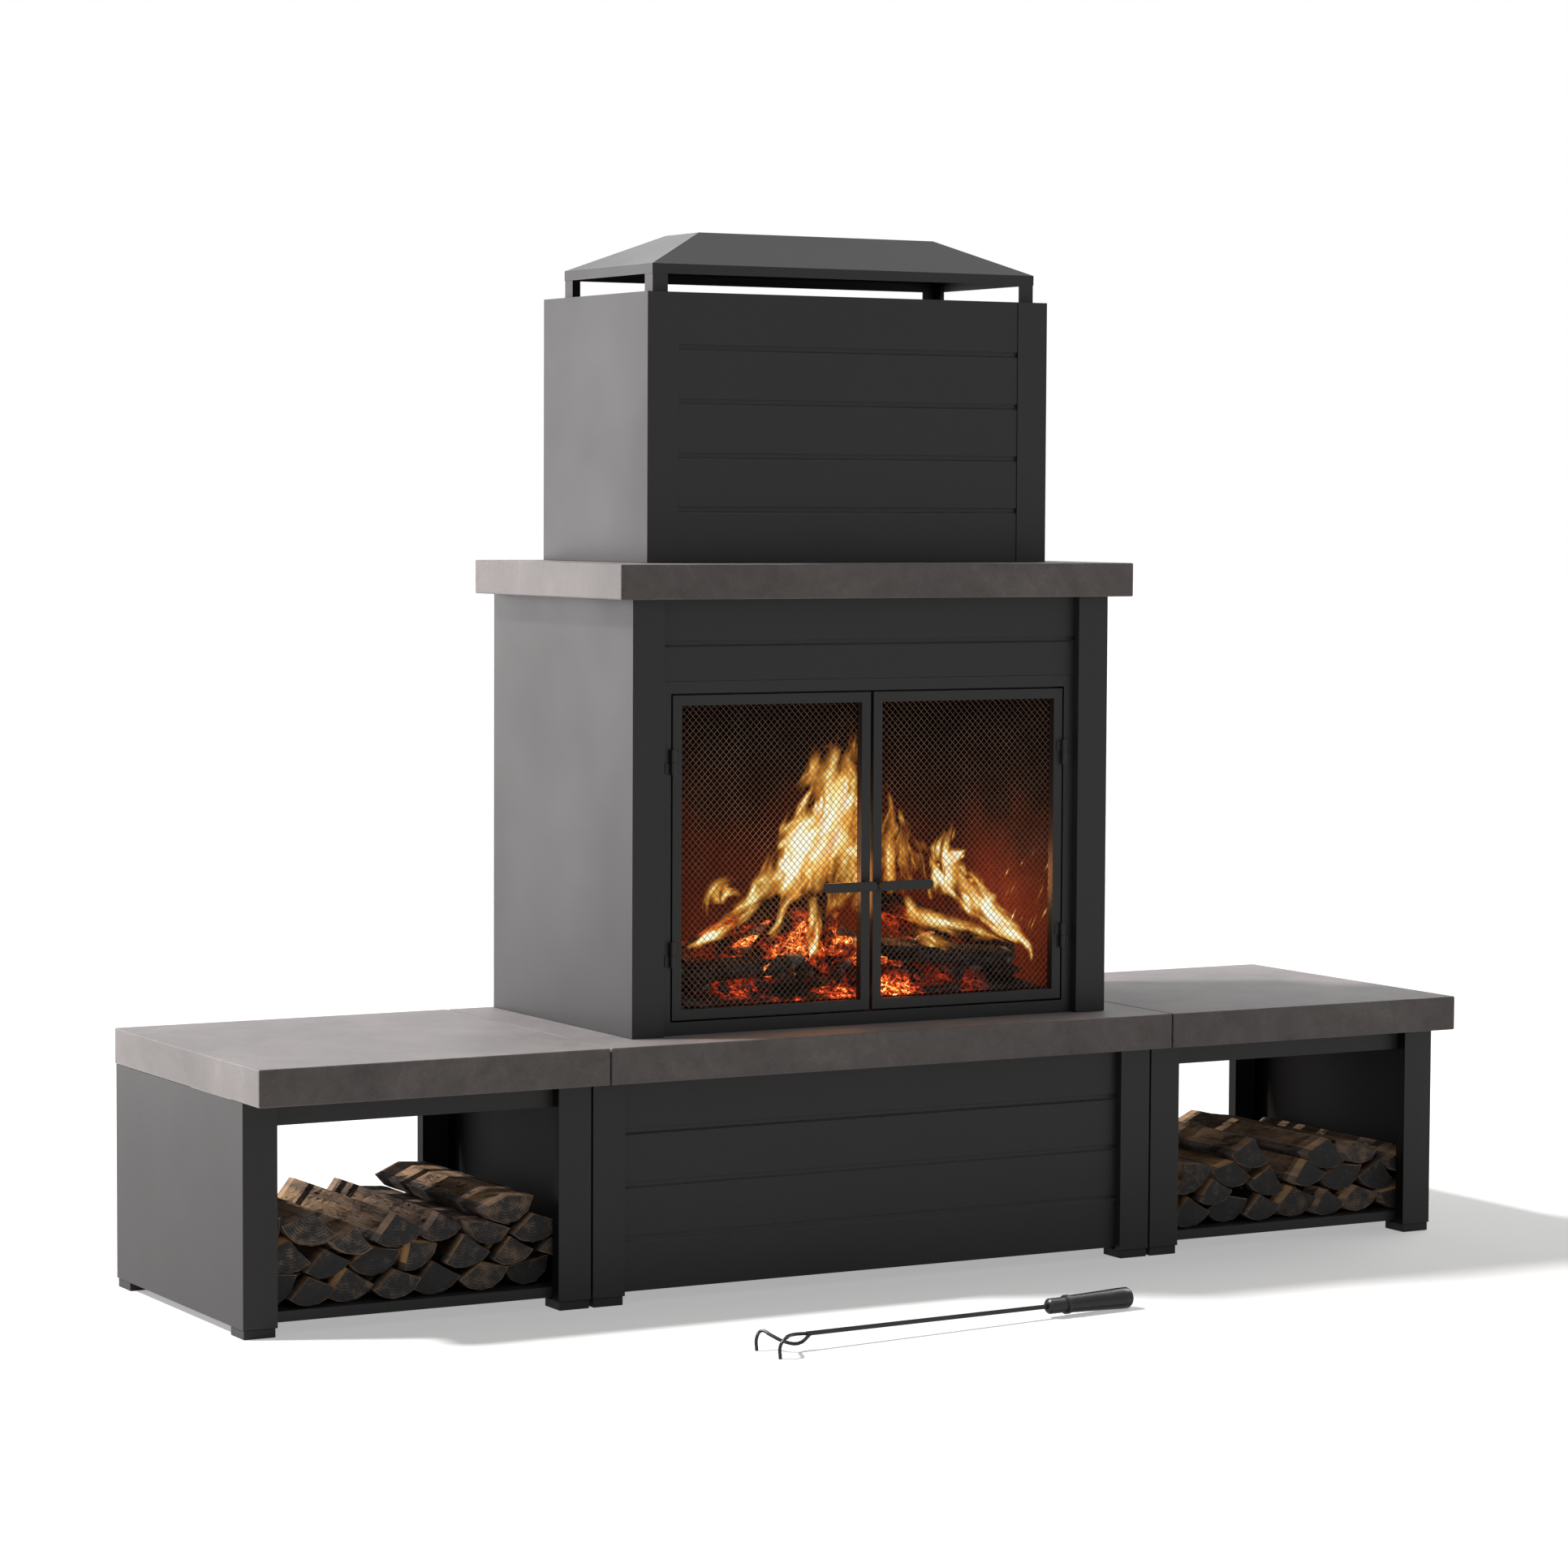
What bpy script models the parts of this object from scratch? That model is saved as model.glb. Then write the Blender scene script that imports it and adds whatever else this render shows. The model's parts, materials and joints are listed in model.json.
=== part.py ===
"""Outdoor wood-burning fireplace: a steel firebox and chimney on a raised hearth, with a log bench at each end.

Metres, +Z up. +X runs to the right along the front and the doors face -Y. The origin is on the floor, at the
middle of the footprint, which takes in the poker that lies in front of the hearth.
"""
from math import cos, pi, radians, sin

import bmesh
import bpy
from mathutils import Matrix, Vector

# Fits and stock
GAP = 0.0003                 # clearance between two faces that touch
OVERRUN = 0.010              # a cutter runs this far past what it cuts
SHEET = 0.0015               # sheet steel of the casing
PLATE = 0.003                # thicker plate round the fire
MERGE = 0.00001              # points closer than this are one point

# Hearth and benches, seen in plan
HEARTH_LENGTH = 2.4384       # 96 inches over the three slabs
CENTRE_LENGTH = 1.150        # seam to seam
SLAB_DEPTH = 0.661           # 26 inches
SLAB_SEAM = 0.003
MODULE_GAP = 0.004
SLAB_FRONT_OVERHANG = 0.0716
SLAB_BACK_OVERHANG = 0.0074

# Heights, from the floor up
FOOT_HEIGHT = 0.0155
FRAME_HEIGHT = 0.3782
SLAB_THICKNESS = 0.0635      # 2.5 inches, and its top is 18 inches above the floor
FIREBOX_HEIGHT = 0.7598
MANTEL_THICKNESS = 0.061
CHIMNEY_HEIGHT = 0.4722
SMOKE_GAP = 0.0325
CAP_SKIRT = 0.0176
CAP_RISE = 0.0634

# Slab edges
SLAB_ROUND = 0.0025
SLAB_ROUND_STEPS = 2

# Folded side panels: the front and back folds are the corner posts
POST_WIDTH = 0.062
BENCH_LIP = 0.024
CASING_RECESS = 0.016        # the infill stands this far behind the posts
FOOT_SIDE = 0.057
FOOT_INSET = 0.002

# Rails and shelf
RAIL_HEIGHT = 0.0437
RAIL_TOP_FLANGE = 0.035
RAIL_BOTTOM_FLANGE = 0.012
SHELF_LIFT = 0.0045
SHELF_LIP = 0.0182

# Boarded infill panels
PANEL_LIFT = 0.004
BASE_BOARDS = 4
FIREBOX_BACK_BOARDS = 8
CHIMNEY_BOARDS = 5
HEADER_HEIGHT = 0.1424
HEADER_GROOVE_DROP = 0.0756
GROOVE_DEPTH = 0.004
GROOVE_BEVEL = 0.004
GROOVE_FLOOR = 0.007
SIDING_RETURN = 0.012

# The bolt that joins each bench to the hearth
BOLT_RADIUS = 0.003
BOLT_HEAD_RADIUS = 0.0055
BOLT_HEAD_HEIGHT = 0.004
BOLT_SPACER_RADIUS = 0.007
BOLT_EDGE = 0.040
BOLT_SIDES = 12
WELD = 0.0007                # pieces that are welded run this far into each other

# Firebox
FIREBOX_WIDTH = 0.974
FIREBOX_DEPTH = 0.5553
FIREBOX_SETBACK = 0.0947     # behind the front edge of the slab
LINER_WIDTH = 0.890
LINER_BACK_SPACE = 0.045
LINER_FRONT_SPACE = 0.006
TRAY_RIM = 0.015

# Mantel, flue and chimney
MANTEL_SIDE_OVERHANG = 0.037
MANTEL_FRONT_OVERHANG = 0.028
MANTEL_BACK_OVERHANG = 0.0025
CHIMNEY_WIDTH = 0.8218
CHIMNEY_DEPTH = 0.4104
CHIMNEY_SETBACK = 0.123      # behind the front edge of the mantel
FLUE_WIDTH = 0.300
FLUE_DEPTH = 0.200
FLUE_FLANGE = 0.015
TOP_PLATE_EDGE = 0.020

# Cap and its legs
CAP_SIDE_INSET = 0.0183
CAP_FRONT_INSET = 0.0182
CAP_DEPTH = 0.3447
CAP_FLAT_WIDTH = 0.486
CAP_FLAT_DEPTH = 0.127
LEG_WIDTH = 0.030
LEG_LAP = 0.012

# Doors and their surround
OPENING_WIDTH = 0.808
SILL_HEIGHT = 0.0227
HEAD_HEIGHT = 0.0209
SURROUND_LAP = 0.012
DOOR_CLEARANCE = 0.0034
MEETING_GAP = 0.006
DOOR_MEMBER = 0.018
DOOR_DEPTH = 0.016
DOOR_STOP = 0.008
STOP_CLEARANCE = 0.003
NET_WIRE = 0.002
NET_LAP = 0.006
NET_COLUMNS = 7
NET_ROWS = 9

# Hinges
HINGE_RADIUS = 0.0055
HINGE_PIN_RADIUS = 0.0025
HINGE_STANDOFF = 0.0005
KNUCKLE_HEIGHT = 0.0225
HINGE_END_DISTANCE = 0.119
HINGE_TAB_REACH = 0.014
HINGE_TAB_HEIGHT = 0.018
HINGE_TAB_THICKNESS = 0.002
HINGE_SIDES = 12

# Handles
HANDLE_LENGTH = 0.110
HANDLE_HEIGHT = 0.0173
HANDLE_THICKNESS = 0.005
HANDLE_STANDOFF = 0.023
HANDLE_ABOVE_SILL = 0.2256
HANDLE_STEM_RADIUS = 0.006
HANDLE_COLLAR_RADIUS = 0.010
HANDLE_COLLAR_THICKNESS = 0.004
HANDLE_END_STEPS = 6
STEM_SIDES = 12

# Fire grate, bed and burning logs
GRATE_WIDTH = 0.820
GRATE_DEPTH = 0.390
GRATE_BAR = 0.012
GRATE_LEG = 0.025
GRATE_BARS = 9
GRATE_END_DISTANCE = 0.060
BED_HEIGHT = 0.034
BED_SIDE_INSET = 0.010
BED_SLOPE = 0.020

# Poker
POKER_AHEAD = 0.4825          # its near prong lies this far in front of the slabs
POKER_LEFT = 0.510           # its tips lie this far to the left of the middle
POKER_ANGLE = 6.3            # degrees away from the line of the hearth
POKER_LENGTH = 0.762         # 30 inches
PRONG_SPREAD = 0.0405
PRONG_SKEW = 0.005           # the fork is bent so that its far tip stands this much further back
PRONG_HEIGHT = 0.032
PRONG_REACH = 0.045
PRONG_RADIUS = 0.003
EYE_LENGTH = 0.034
EYE_SPREAD = 0.006
EYE_DROP = 0.013             # the far prong's wire loops under the near one by this much
POKER_ROD_RADIUS = 0.004
POKER_NECK_HEIGHT = 0.027
FERRULE_LENGTH = 0.046
FERRULE_RADIUS = 0.0135
FERRULE_RING_RADIUS = 0.0165
FERRULE_RING_LENGTH = 0.008
GRIP_LENGTH = 0.134
GRIP_RADIUS = 0.0150
GRIP_END_RADIUS = 0.0185
GRIP_ROUND = 0.006
ROD_INSERT = 0.030
TURNED_SIDES = 20

# Split logs: the radius of the round that each was split from
SMALL_LOG = 0.044
MEDIUM_LOG = 0.053
LARGE_LOG = 0.061
LOG_FRONT_SETBACK = 0.032
LOG_BACK_SETBACK = 0.095      # behind the logs, before any stagger
LOG_STAGGER = 0.026
LOG_ARC_STEPS = 5
LOG_BITE = 0.0005            # a log presses this far into the one that it rests on
LOG_TURNS = (78, 100, 125, 250, 272, 300)
LOG_TRIES = 14

# The logs of each stack in the order in which they are laid: radius, the angle in degrees that each was split to,
# and the share of the stagger by which its front end stands back
LEFT_LOG_SHARES = (
    (LARGE_LOG, 150, 0.6), (MEDIUM_LOG, 110, 0.1), (LARGE_LOG, 95, 0.5), (MEDIUM_LOG, 120, 0.0),
    (LARGE_LOG, 100, 0.4), (MEDIUM_LOG, 130, 0.2), (SMALL_LOG, 180, 0.9), (MEDIUM_LOG, 100, 0.3),
    (MEDIUM_LOG, 140, 0.7), (LARGE_LOG, 92, 0.2), (MEDIUM_LOG, 105, 0.5), (SMALL_LOG, 175, 0.0),
    (MEDIUM_LOG, 96, 0.6), (LARGE_LOG, 110, 0.4), (MEDIUM_LOG, 120, 0.0), (MEDIUM_LOG, 98, 0.3),
    (SMALL_LOG, 160, 0.5), (LARGE_LOG, 100, 0.2), (MEDIUM_LOG, 135, 0.1), (MEDIUM_LOG, 95, 0.8),
    (LARGE_LOG, 115, 0.3), (MEDIUM_LOG, 150, 0.6),
)
RIGHT_LOG_SHARES = (
    (MEDIUM_LOG, 100, 0.3), (LARGE_LOG, 96, 0.1), (MEDIUM_LOG, 140, 0.7), (MEDIUM_LOG, 105, 0.2),
    (LARGE_LOG, 110, 0.5), (MEDIUM_LOG, 92, 0.0), (MEDIUM_LOG, 120, 0.4), (SMALL_LOG, 180, 0.2),
    (LARGE_LOG, 98, 0.6), (MEDIUM_LOG, 100, 0.1), (MEDIUM_LOG, 150, 0.5), (LARGE_LOG, 92, 0.8),
    (SMALL_LOG, 178, 0.3), (MEDIUM_LOG, 96, 0.1), (MEDIUM_LOG, 125, 0.6), (LARGE_LOG, 102, 0.4),
    (MEDIUM_LOG, 96, 0.0), (LARGE_LOG, 105, 0.3), (SMALL_LOG, 165, 0.5), (MEDIUM_LOG, 110, 0.1),
    (LARGE_LOG, 94, 0.6),
)

# Each log on the fire: its ends as shares of the bed's length and depth and of the height that the logs may reach,
# and its split angle and turn in degrees. The first lies along the back, and the others lean on it or each other.
FIRE_LOG = 0.045
FIRE_REACH = 0.300
FIRE_LOG_SHARES = (
    ((0.10, 0.64, 0.00), (0.94, 0.66, 0.02), 170, 90), ((0.08, 0.14, 0.03), (0.47, 0.44, 0.50), 140, 85),
    ((0.24, 0.06, 0.02), (0.54, 0.40, 0.60), 120, 95), ((0.41, 0.02, 0.00), (0.57, 0.46, 0.78), 110, 80),
    ((1.00, 0.12, 0.02), (0.56, 0.40, 0.50), 130, 95), ((0.95, 0.02, 0.00), (0.55, 0.10, 0.10), 150, 90),
    ((0.03, 0.04, 0.00), (0.36, 0.12, 0.02), 160, 90), ((0.90, 0.70, 0.06), (0.56, 0.56, 0.74), 130, 85),
)

# Levels and planes that several parts share
frame_bottom = FOOT_HEIGHT + GAP
frame_top = frame_bottom + FRAME_HEIGHT
slab_bottom = frame_top + GAP
slab_top = slab_bottom + SLAB_THICKNESS
firebox_bottom = slab_top + GAP
firebox_top = firebox_bottom + FIREBOX_HEIGHT
mantel_bottom = firebox_top + GAP
mantel_top = mantel_bottom + MANTEL_THICKNESS
chimney_bottom = mantel_top + GAP
chimney_top = chimney_bottom + CHIMNEY_HEIGHT
skirt_bottom = chimney_top + SMOKE_GAP
skirt_top = skirt_bottom + CAP_SKIRT
cap_top = skirt_top + CAP_RISE

footprint_depth = SLAB_DEPTH + POKER_AHEAD
slab_back = footprint_depth / 2
slab_front = slab_back - SLAB_DEPTH
body_front = slab_front + SLAB_FRONT_OVERHANG
body_back = slab_back - SLAB_BACK_OVERHANG
log_length = body_back - body_front - LOG_FRONT_SETBACK - LOG_BACK_SETBACK
firebox_front = slab_front + FIREBOX_SETBACK
firebox_back = firebox_front + FIREBOX_DEPTH
mantel_front = firebox_front - MANTEL_FRONT_OVERHANG
mantel_back = firebox_back + MANTEL_BACK_OVERHANG
chimney_front = mantel_front + CHIMNEY_SETBACK
chimney_back = chimney_front + CHIMNEY_DEPTH
cap_front = chimney_front + CAP_FRONT_INSET
cap_back = cap_front + CAP_DEPTH

hearth_end = HEARTH_LENGTH / 2
centre_end = (CENTRE_LENGTH - MODULE_GAP) / 2
bench_start = (CENTRE_LENGTH + MODULE_GAP) / 2
firebox_side = FIREBOX_WIDTH / 2
chimney_side = CHIMNEY_WIDTH / 2
cap_side = chimney_side - CAP_SIDE_INSET

surround_plane = firebox_front + CASING_RECESS
infill_side = firebox_side - SHEET - GAP
opening_side = OPENING_WIDTH / 2
opening_bottom = firebox_bottom + SILL_HEIGHT
header_bottom = firebox_top - HEADER_HEIGHT
opening_top = header_bottom - GAP - HEAD_HEIGHT
door_outer = opening_side - DOOR_CLEARANCE
door_inner = MEETING_GAP / 2
door_bottom = opening_bottom + DOOR_CLEARANCE
door_top = opening_top - DOOR_CLEARANCE
net_plane = surround_plane + DOOR_DEPTH + GAP
jamb_depth = DOOR_DEPTH + GAP + NET_WIRE + STOP_CLEARANCE
hinge_x = (opening_side + door_outer) / 2
hinge_y = surround_plane - HINGE_STANDOFF - HINGE_RADIUS
hinge_z = (opening_bottom + opening_top) / 2
flue_y = (chimney_front + chimney_back) / 2


def clear_scene():
    """Removes whatever the opened file holds."""
    for thing in list(bpy.data.objects):
        bpy.data.objects.remove(thing)


def material(name, colour, roughness, metallic=0.0):
    """A Principled material of one colour."""
    made = bpy.data.materials.new(name)
    made.use_nodes = True
    shader = made.node_tree.nodes["Principled BSDF"]
    shader.inputs["Base Color"].default_value = (*colour, 1.0)
    shader.inputs["Roughness"].default_value = roughness
    shader.inputs["Metallic"].default_value = metallic
    return made


def place(name, bm, finish, smooth=False):
    """Turns a bmesh into a named object with its faces pointing out."""
    bmesh.ops.recalc_face_normals(bm, faces=bm.faces)
    mesh = bpy.data.meshes.new(name)
    bm.to_mesh(mesh)
    bm.free()
    if smooth:
        mesh.shade_smooth()
        mesh.set_sharp_from_angle(angle=radians(35))
    if finish:
        mesh.materials.append(finish)
    made = bpy.data.objects.new(name, mesh)
    bpy.context.scene.collection.objects.link(made)
    return made


def combine(target, bm, operation, order):
    """Cuts a bmesh from an object or joins it on, through a hidden tool object."""
    tool = place(f"{target.name}_tool_{order}", bm, None)
    tool.hide_render = True
    tool.display_type = "WIRE"
    step = target.modifiers.new(operation.lower(), "BOOLEAN")
    step.operation = operation
    step.solver = "EXACT"
    step.object = tool


def fuse(target, bm, order):
    """Joins onto an object a bmesh whose own shapes run into each other."""
    combine(target, bm, "UNION", order)
    target.modifiers[-1].use_self = True


def hang(name, at, pieces):
    """Parents pieces to an empty that stands on the axis on which they move."""
    pivot = bpy.data.objects.new(name, None)
    pivot.location = at
    bpy.context.scene.collection.objects.link(pivot)
    for piece in pieces:
        piece.parent = pivot
        piece.matrix_parent_inverse = Matrix.Translation(-Vector(at))


def add_block(bm, low, high):
    """Adds a box between two corners."""
    low, high = Vector(low), Vector(high)
    place_and_size = Matrix.Translation((low + high) / 2) @ Matrix.Diagonal((*(high - low), 1.0))
    bmesh.ops.create_cube(bm, size=1.0, matrix=place_and_size)


def add_prism(bm, corners, travel):
    """Adds the solid that a flat outline sweeps along a straight travel."""
    face = bm.faces.new([bm.verts.new(corner) for corner in corners])
    swept = bmesh.ops.extrude_face_region(bm, geom=[face])["geom"]
    bmesh.ops.translate(bm, verts=[v for v in swept if isinstance(v, bmesh.types.BMVert)], vec=travel)


def add_loft(bm, loops, closed):
    """Joins rectangles of four corners in turn; an open run of them is capped at both ends."""
    rings = [[bm.verts.new(corner) for corner in loop] for loop in loops]
    following = rings[1:] + rings[:1] if closed else rings[1:]
    for ring, other in zip(rings, following):
        for i in range(4):
            j = (i + 1) % 4
            bm.faces.new((ring[i], ring[j], other[j], other[i]))
    if not closed:
        bm.faces.new(rings[0])
        bm.faces.new(rings[-1])


def upright(left, right, bottom, top, y):
    """The corners of a rectangle that faces the front."""
    return [(left, y, bottom), (right, y, bottom), (right, y, top), (left, y, top)]


def level(left, right, front, back, z):
    """The corners of a rectangle that lies flat."""
    return [(left, front, z), (right, front, z), (right, back, z), (left, back, z)]


def sheet_outline(path, thickness):
    """The closed outline of a sheet folded along a path, with its thickness on the right of the path."""
    path = [Vector(point) for point in path]
    normals = []
    for start, end in zip(path, path[1:]):
        along = (end - start).normalized()
        normals.append(Vector((along.y, -along.x)))
    before = normals[:1] + normals
    after = normals + normals[-1:]
    inner = [p + (a + b) * (thickness / (1 + a.dot(b))) for p, a, b in zip(path, before, after)]
    return path + inner[::-1]


def add_turned(bm, profile, sides, matrix):
    """Spins a profile of (radius, height) points, from axis to axis, about Z and sets it with a matrix."""
    known = set(bm.verts)
    points = [bm.verts.new((radius, 0, height)) for radius, height in profile]
    edges = [bm.edges.new(run) for run in zip(points, points[1:])]
    bmesh.ops.spin(bm, geom=edges, cent=(0, 0, 0), axis=(0, 0, 1), angle=2 * pi, steps=sides, use_merge=True)
    made = [v for v in bm.verts if v not in known]
    bmesh.ops.remove_doubles(bm, verts=made, dist=MERGE)
    bmesh.ops.transform(bm, matrix=matrix, verts=[v for v in bm.verts if v not in known])


def slab(name, low, high, finish):
    """A cast slab with rounded edges."""
    bm = bmesh.new()
    add_block(bm, low, high)
    bmesh.ops.bevel(bm, geom=bm.edges[:], offset=SLAB_ROUND, segments=SLAB_ROUND_STEPS, profile=0.5,
                    affect="EDGES", clamp_overlap=True)
    return place(name, bm, finish)


def side_panel(name, outer_x, inward, front, back, bottom, top, lip, finish):
    """A side sheet whose folded front and back edges are the corner posts."""
    path = [(POST_WIDTH, front), (0, front), (0, back), (POST_WIDTH, back)]
    if lip:
        path = [(POST_WIDTH, front + lip), *path, (POST_WIDTH, back - lip)]
    outline = sheet_outline(path, SHEET)
    bm = bmesh.new()
    add_prism(bm, [(outer_x + inward * across, y, bottom) for across, y in outline], (0, 0, top - bottom))
    return place(name, bm, finish)


def rail(name, left, right, face_y, inward, finish):
    """A folded rail just below a slab: its upper flange carries the slab."""
    bottom = frame_top - RAIL_HEIGHT
    path = [(RAIL_BOTTOM_FLANGE, bottom), (0, bottom), (0, frame_top), (RAIL_TOP_FLANGE, frame_top)]
    bm = bmesh.new()
    outline = sheet_outline(path, SHEET)
    add_prism(bm, [(left, face_y + inward * depth, z) for depth, z in outline], (right - left, 0, 0))
    return place(name, bm, finish)


def siding(name, left, right, face_y, inward, bottom, top, grooves, finish):
    """One sheet rolled into boards: each groove has a bevel below, a flat floor and a square step above."""
    path = [(SIDING_RETURN, bottom), (0, bottom)]
    for z in grooves:
        floor_low = z - GROOVE_FLOOR / 2
        floor_high = z + GROOVE_FLOOR / 2
        path += [(0, floor_low - GROOVE_BEVEL), (GROOVE_DEPTH, floor_low), (GROOVE_DEPTH, floor_high), (0, floor_high)]
    path += [(0, top), (SIDING_RETURN, top)]
    bm = bmesh.new()
    outline = sheet_outline(path, SHEET)
    add_prism(bm, [(left, face_y + inward * depth, z) for depth, z in outline], (right - left, 0, 0))
    return place(name, bm, finish)


def board_grooves(bottom, top, boards):
    """The heights of the grooves between equal boards."""
    return [bottom + (top - bottom) * i / boards for i in range(1, boards)]


def feet(module, spans, finish):
    """A moulded block under each corner of a module."""
    for across, (left, right) in spans.items():
        for depth, front in (("front", body_front + FOOT_INSET), ("back", body_back - FOOT_INSET - FOOT_SIDE)):
            bm = bmesh.new()
            add_block(bm, (left, front, 0), (right, front + FOOT_SIDE, FOOT_HEIGHT))
            place(f"{module}_{depth}_{across}_foot", bm, finish)


def bolt_axis(side):
    """The place of a joining bolt, high at the back of the side panels, with its axis along X."""
    y = body_back - BENCH_LIP - BOLT_EDGE
    z = frame_top - RAIL_HEIGHT - BOLT_EDGE
    return Matrix.Translation((side * CENTRE_LENGTH / 2, y, z)) @ Matrix.Rotation(pi / 2, 4, "Y")


def cut_bolt_hole(panel, side):
    """Drills a side panel for its bolt."""
    bm = bmesh.new()
    reach = MODULE_GAP + SHEET + OVERRUN
    hole = BOLT_RADIUS + GAP
    bmesh.ops.create_cone(bm, cap_ends=True, segments=BOLT_SIDES, radius1=hole, radius2=hole, depth=2 * reach,
                          matrix=bolt_axis(side))
    combine(panel, bm, "DIFFERENCE", "bolt")


def joining_bolt(name, side, finish):
    """A bolt with a spacer in the gap between two modules, a head in the bench and a nut in the hearth."""
    spacer = MODULE_GAP / 2 - GAP
    grip = MODULE_GAP / 2 + SHEET + GAP
    end = grip + BOLT_HEAD_HEIGHT
    profile = [(0, -end), (BOLT_HEAD_RADIUS, -end), (BOLT_HEAD_RADIUS, -grip), (BOLT_RADIUS, -grip),
               (BOLT_RADIUS, -spacer), (BOLT_SPACER_RADIUS, -spacer), (BOLT_SPACER_RADIUS, spacer),
               (BOLT_RADIUS, spacer), (BOLT_RADIUS, grip), (BOLT_HEAD_RADIUS, grip), (BOLT_HEAD_RADIUS, end), (0, end)]
    bm = bmesh.new()
    add_turned(bm, profile, BOLT_SIDES, bolt_axis(side))
    return place(name, bm, finish)


def log_section(radius, split, turn):
    """The outline of a split log: an arc of bark, closed through the heart of the round."""
    steps = [radians(turn + 180 + split * (i / LOG_ARC_STEPS - 0.5)) for i in range(LOG_ARC_STEPS + 1)]
    points = [Vector((radius * cos(a), radius * sin(a))) for a in steps]
    if split < 175:
        points.append(Vector((0, 0)))
    return points


def height_at(outline, x, pick):
    """The lowest or highest point of an outline above one place on the shelf."""
    found = []
    for start, end in zip(outline, outline[1:] + outline[:1]):
        low, high = sorted((start.x, end.x))
        if low <= x <= high and high > low:
            found.append(start.y + (end.y - start.y) * (x - start.x) / (end.x - start.x))
    return pick(found) if found else None


def rested(outline, pile, floor):
    """Lowers an outline onto the floor or the pile. Says too whether it met the floor first."""
    to_floor = min(point.y for point in outline) - floor - GAP
    drop = to_floor
    reach = [min(point.x for point in outline), max(point.x for point in outline)]
    for other in pile:
        if max(point.x for point in other) < reach[0] or min(point.x for point in other) > reach[1]:
            continue
        for x in [point.x for point in outline + other]:
            above = height_at(outline, x, min)
            below = height_at(other, x, max)
            if above is not None and below is not None:
                drop = min(drop, above - below + LOG_BITE)
    return [point - Vector((0, drop)) for point in outline], drop == to_floor


def swapped(outline):
    """An outline with its two directions exchanged."""
    return [Vector((point.y, point.x)) for point in outline]


def best_rest(radius, split, left, right, pile, floor):
    """Tries a log at several places and turns, and returns it where it lies lowest, moved up to its neighbour."""
    best = None
    for turn in LOG_TURNS:
        section = log_section(radius, split, turn)
        low = min(point.x for point in section)
        room = right - left - 2 * GAP - (max(point.x for point in section) - low)
        lift = slab_top - min(point.y for point in section)
        for i in range(LOG_TRIES):
            across = left + GAP - low + room * i / (LOG_TRIES - 1)
            outline, on_floor = rested([point + Vector((across, lift)) for point in section], pile, floor)
            height = sum(point.y for point in outline) / len(outline)
            if best is None or height < best[0]:
                best = height, outline, on_floor
    outline, on_floor = best[1:]
    if on_floor and pile:
        outline = swapped(rested(swapped(outline), [swapped(other) for other in pile], left)[0])
    return outline


def firewood(name, left, right, floor, shares, finish):
    """Split logs laid front to back on a shelf, each where it lies lowest on those below."""
    made = place(name, bmesh.new(), finish)
    bm = bmesh.new()
    pile = []
    for radius, split, back in shares:
        outline = best_rest(radius, split, left, right, pile, floor)
        pile.append(outline)
        front = body_front + LOG_FRONT_SETBACK + LOG_STAGGER * back
        length = log_length + LOG_STAGGER * (0.5 - back)
        add_prism(bm, [(point.x, front, point.y) for point in outline], (0, length, 0))
    fuse(made, bm, "logs")
    return made


def bench(side_name, side, log_shares, finishes):
    """One bench: two folded side panels, rails, shelf, feet, slab and its stack of logs."""
    steel, stone, rubber, wood = finishes
    outer, inner = side * hearth_end, side * bench_start
    name = f"{side_name}_bench"
    side_panel(f"{name}_outer_panel", outer, -side, body_front, body_back, frame_bottom, frame_top, BENCH_LIP, steel)
    joined = side_panel(f"{name}_inner_panel", inner, side, body_front, body_back, frame_bottom, frame_top,
                        BENCH_LIP, steel)
    cut_bolt_hole(joined, side)
    clear = SHEET + GAP
    left, right = sorted((outer - side * clear, inner + side * clear))
    front, back = body_front + BENCH_LIP + GAP, body_back - BENCH_LIP - GAP
    rail(f"{name}_front_rail", left, right, front, 1, steel)
    rail(f"{name}_back_rail", left, right, back, -1, steel)
    shelf_bottom = frame_bottom + SHELF_LIFT
    shelf_top = shelf_bottom + SHELF_LIP
    path = [(front, shelf_bottom), (front, shelf_top), (back, shelf_top), (back, shelf_bottom)]
    bm = bmesh.new()
    outline = sheet_outline(path, SHEET)
    add_prism(bm, [(left, y, z) for y, z in outline], (right - left, 0, 0))
    place(f"{name}_shelf", bm, steel)
    firewood(f"{name}_firewood", left, right, shelf_top, log_shares, wood)
    spans = {"outer": sorted((outer - side * FOOT_INSET, outer - side * (FOOT_INSET + FOOT_SIDE))),
             "inner": sorted((inner + side * FOOT_INSET, inner + side * (FOOT_INSET + FOOT_SIDE)))}
    feet(name, spans, rubber)
    slab_left, slab_right = sorted((outer, side * (CENTRE_LENGTH + SLAB_SEAM) / 2))
    slab(f"{name}_slab", (slab_left, slab_front, slab_bottom), (slab_right, slab_back, slab_top), stone)


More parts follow.
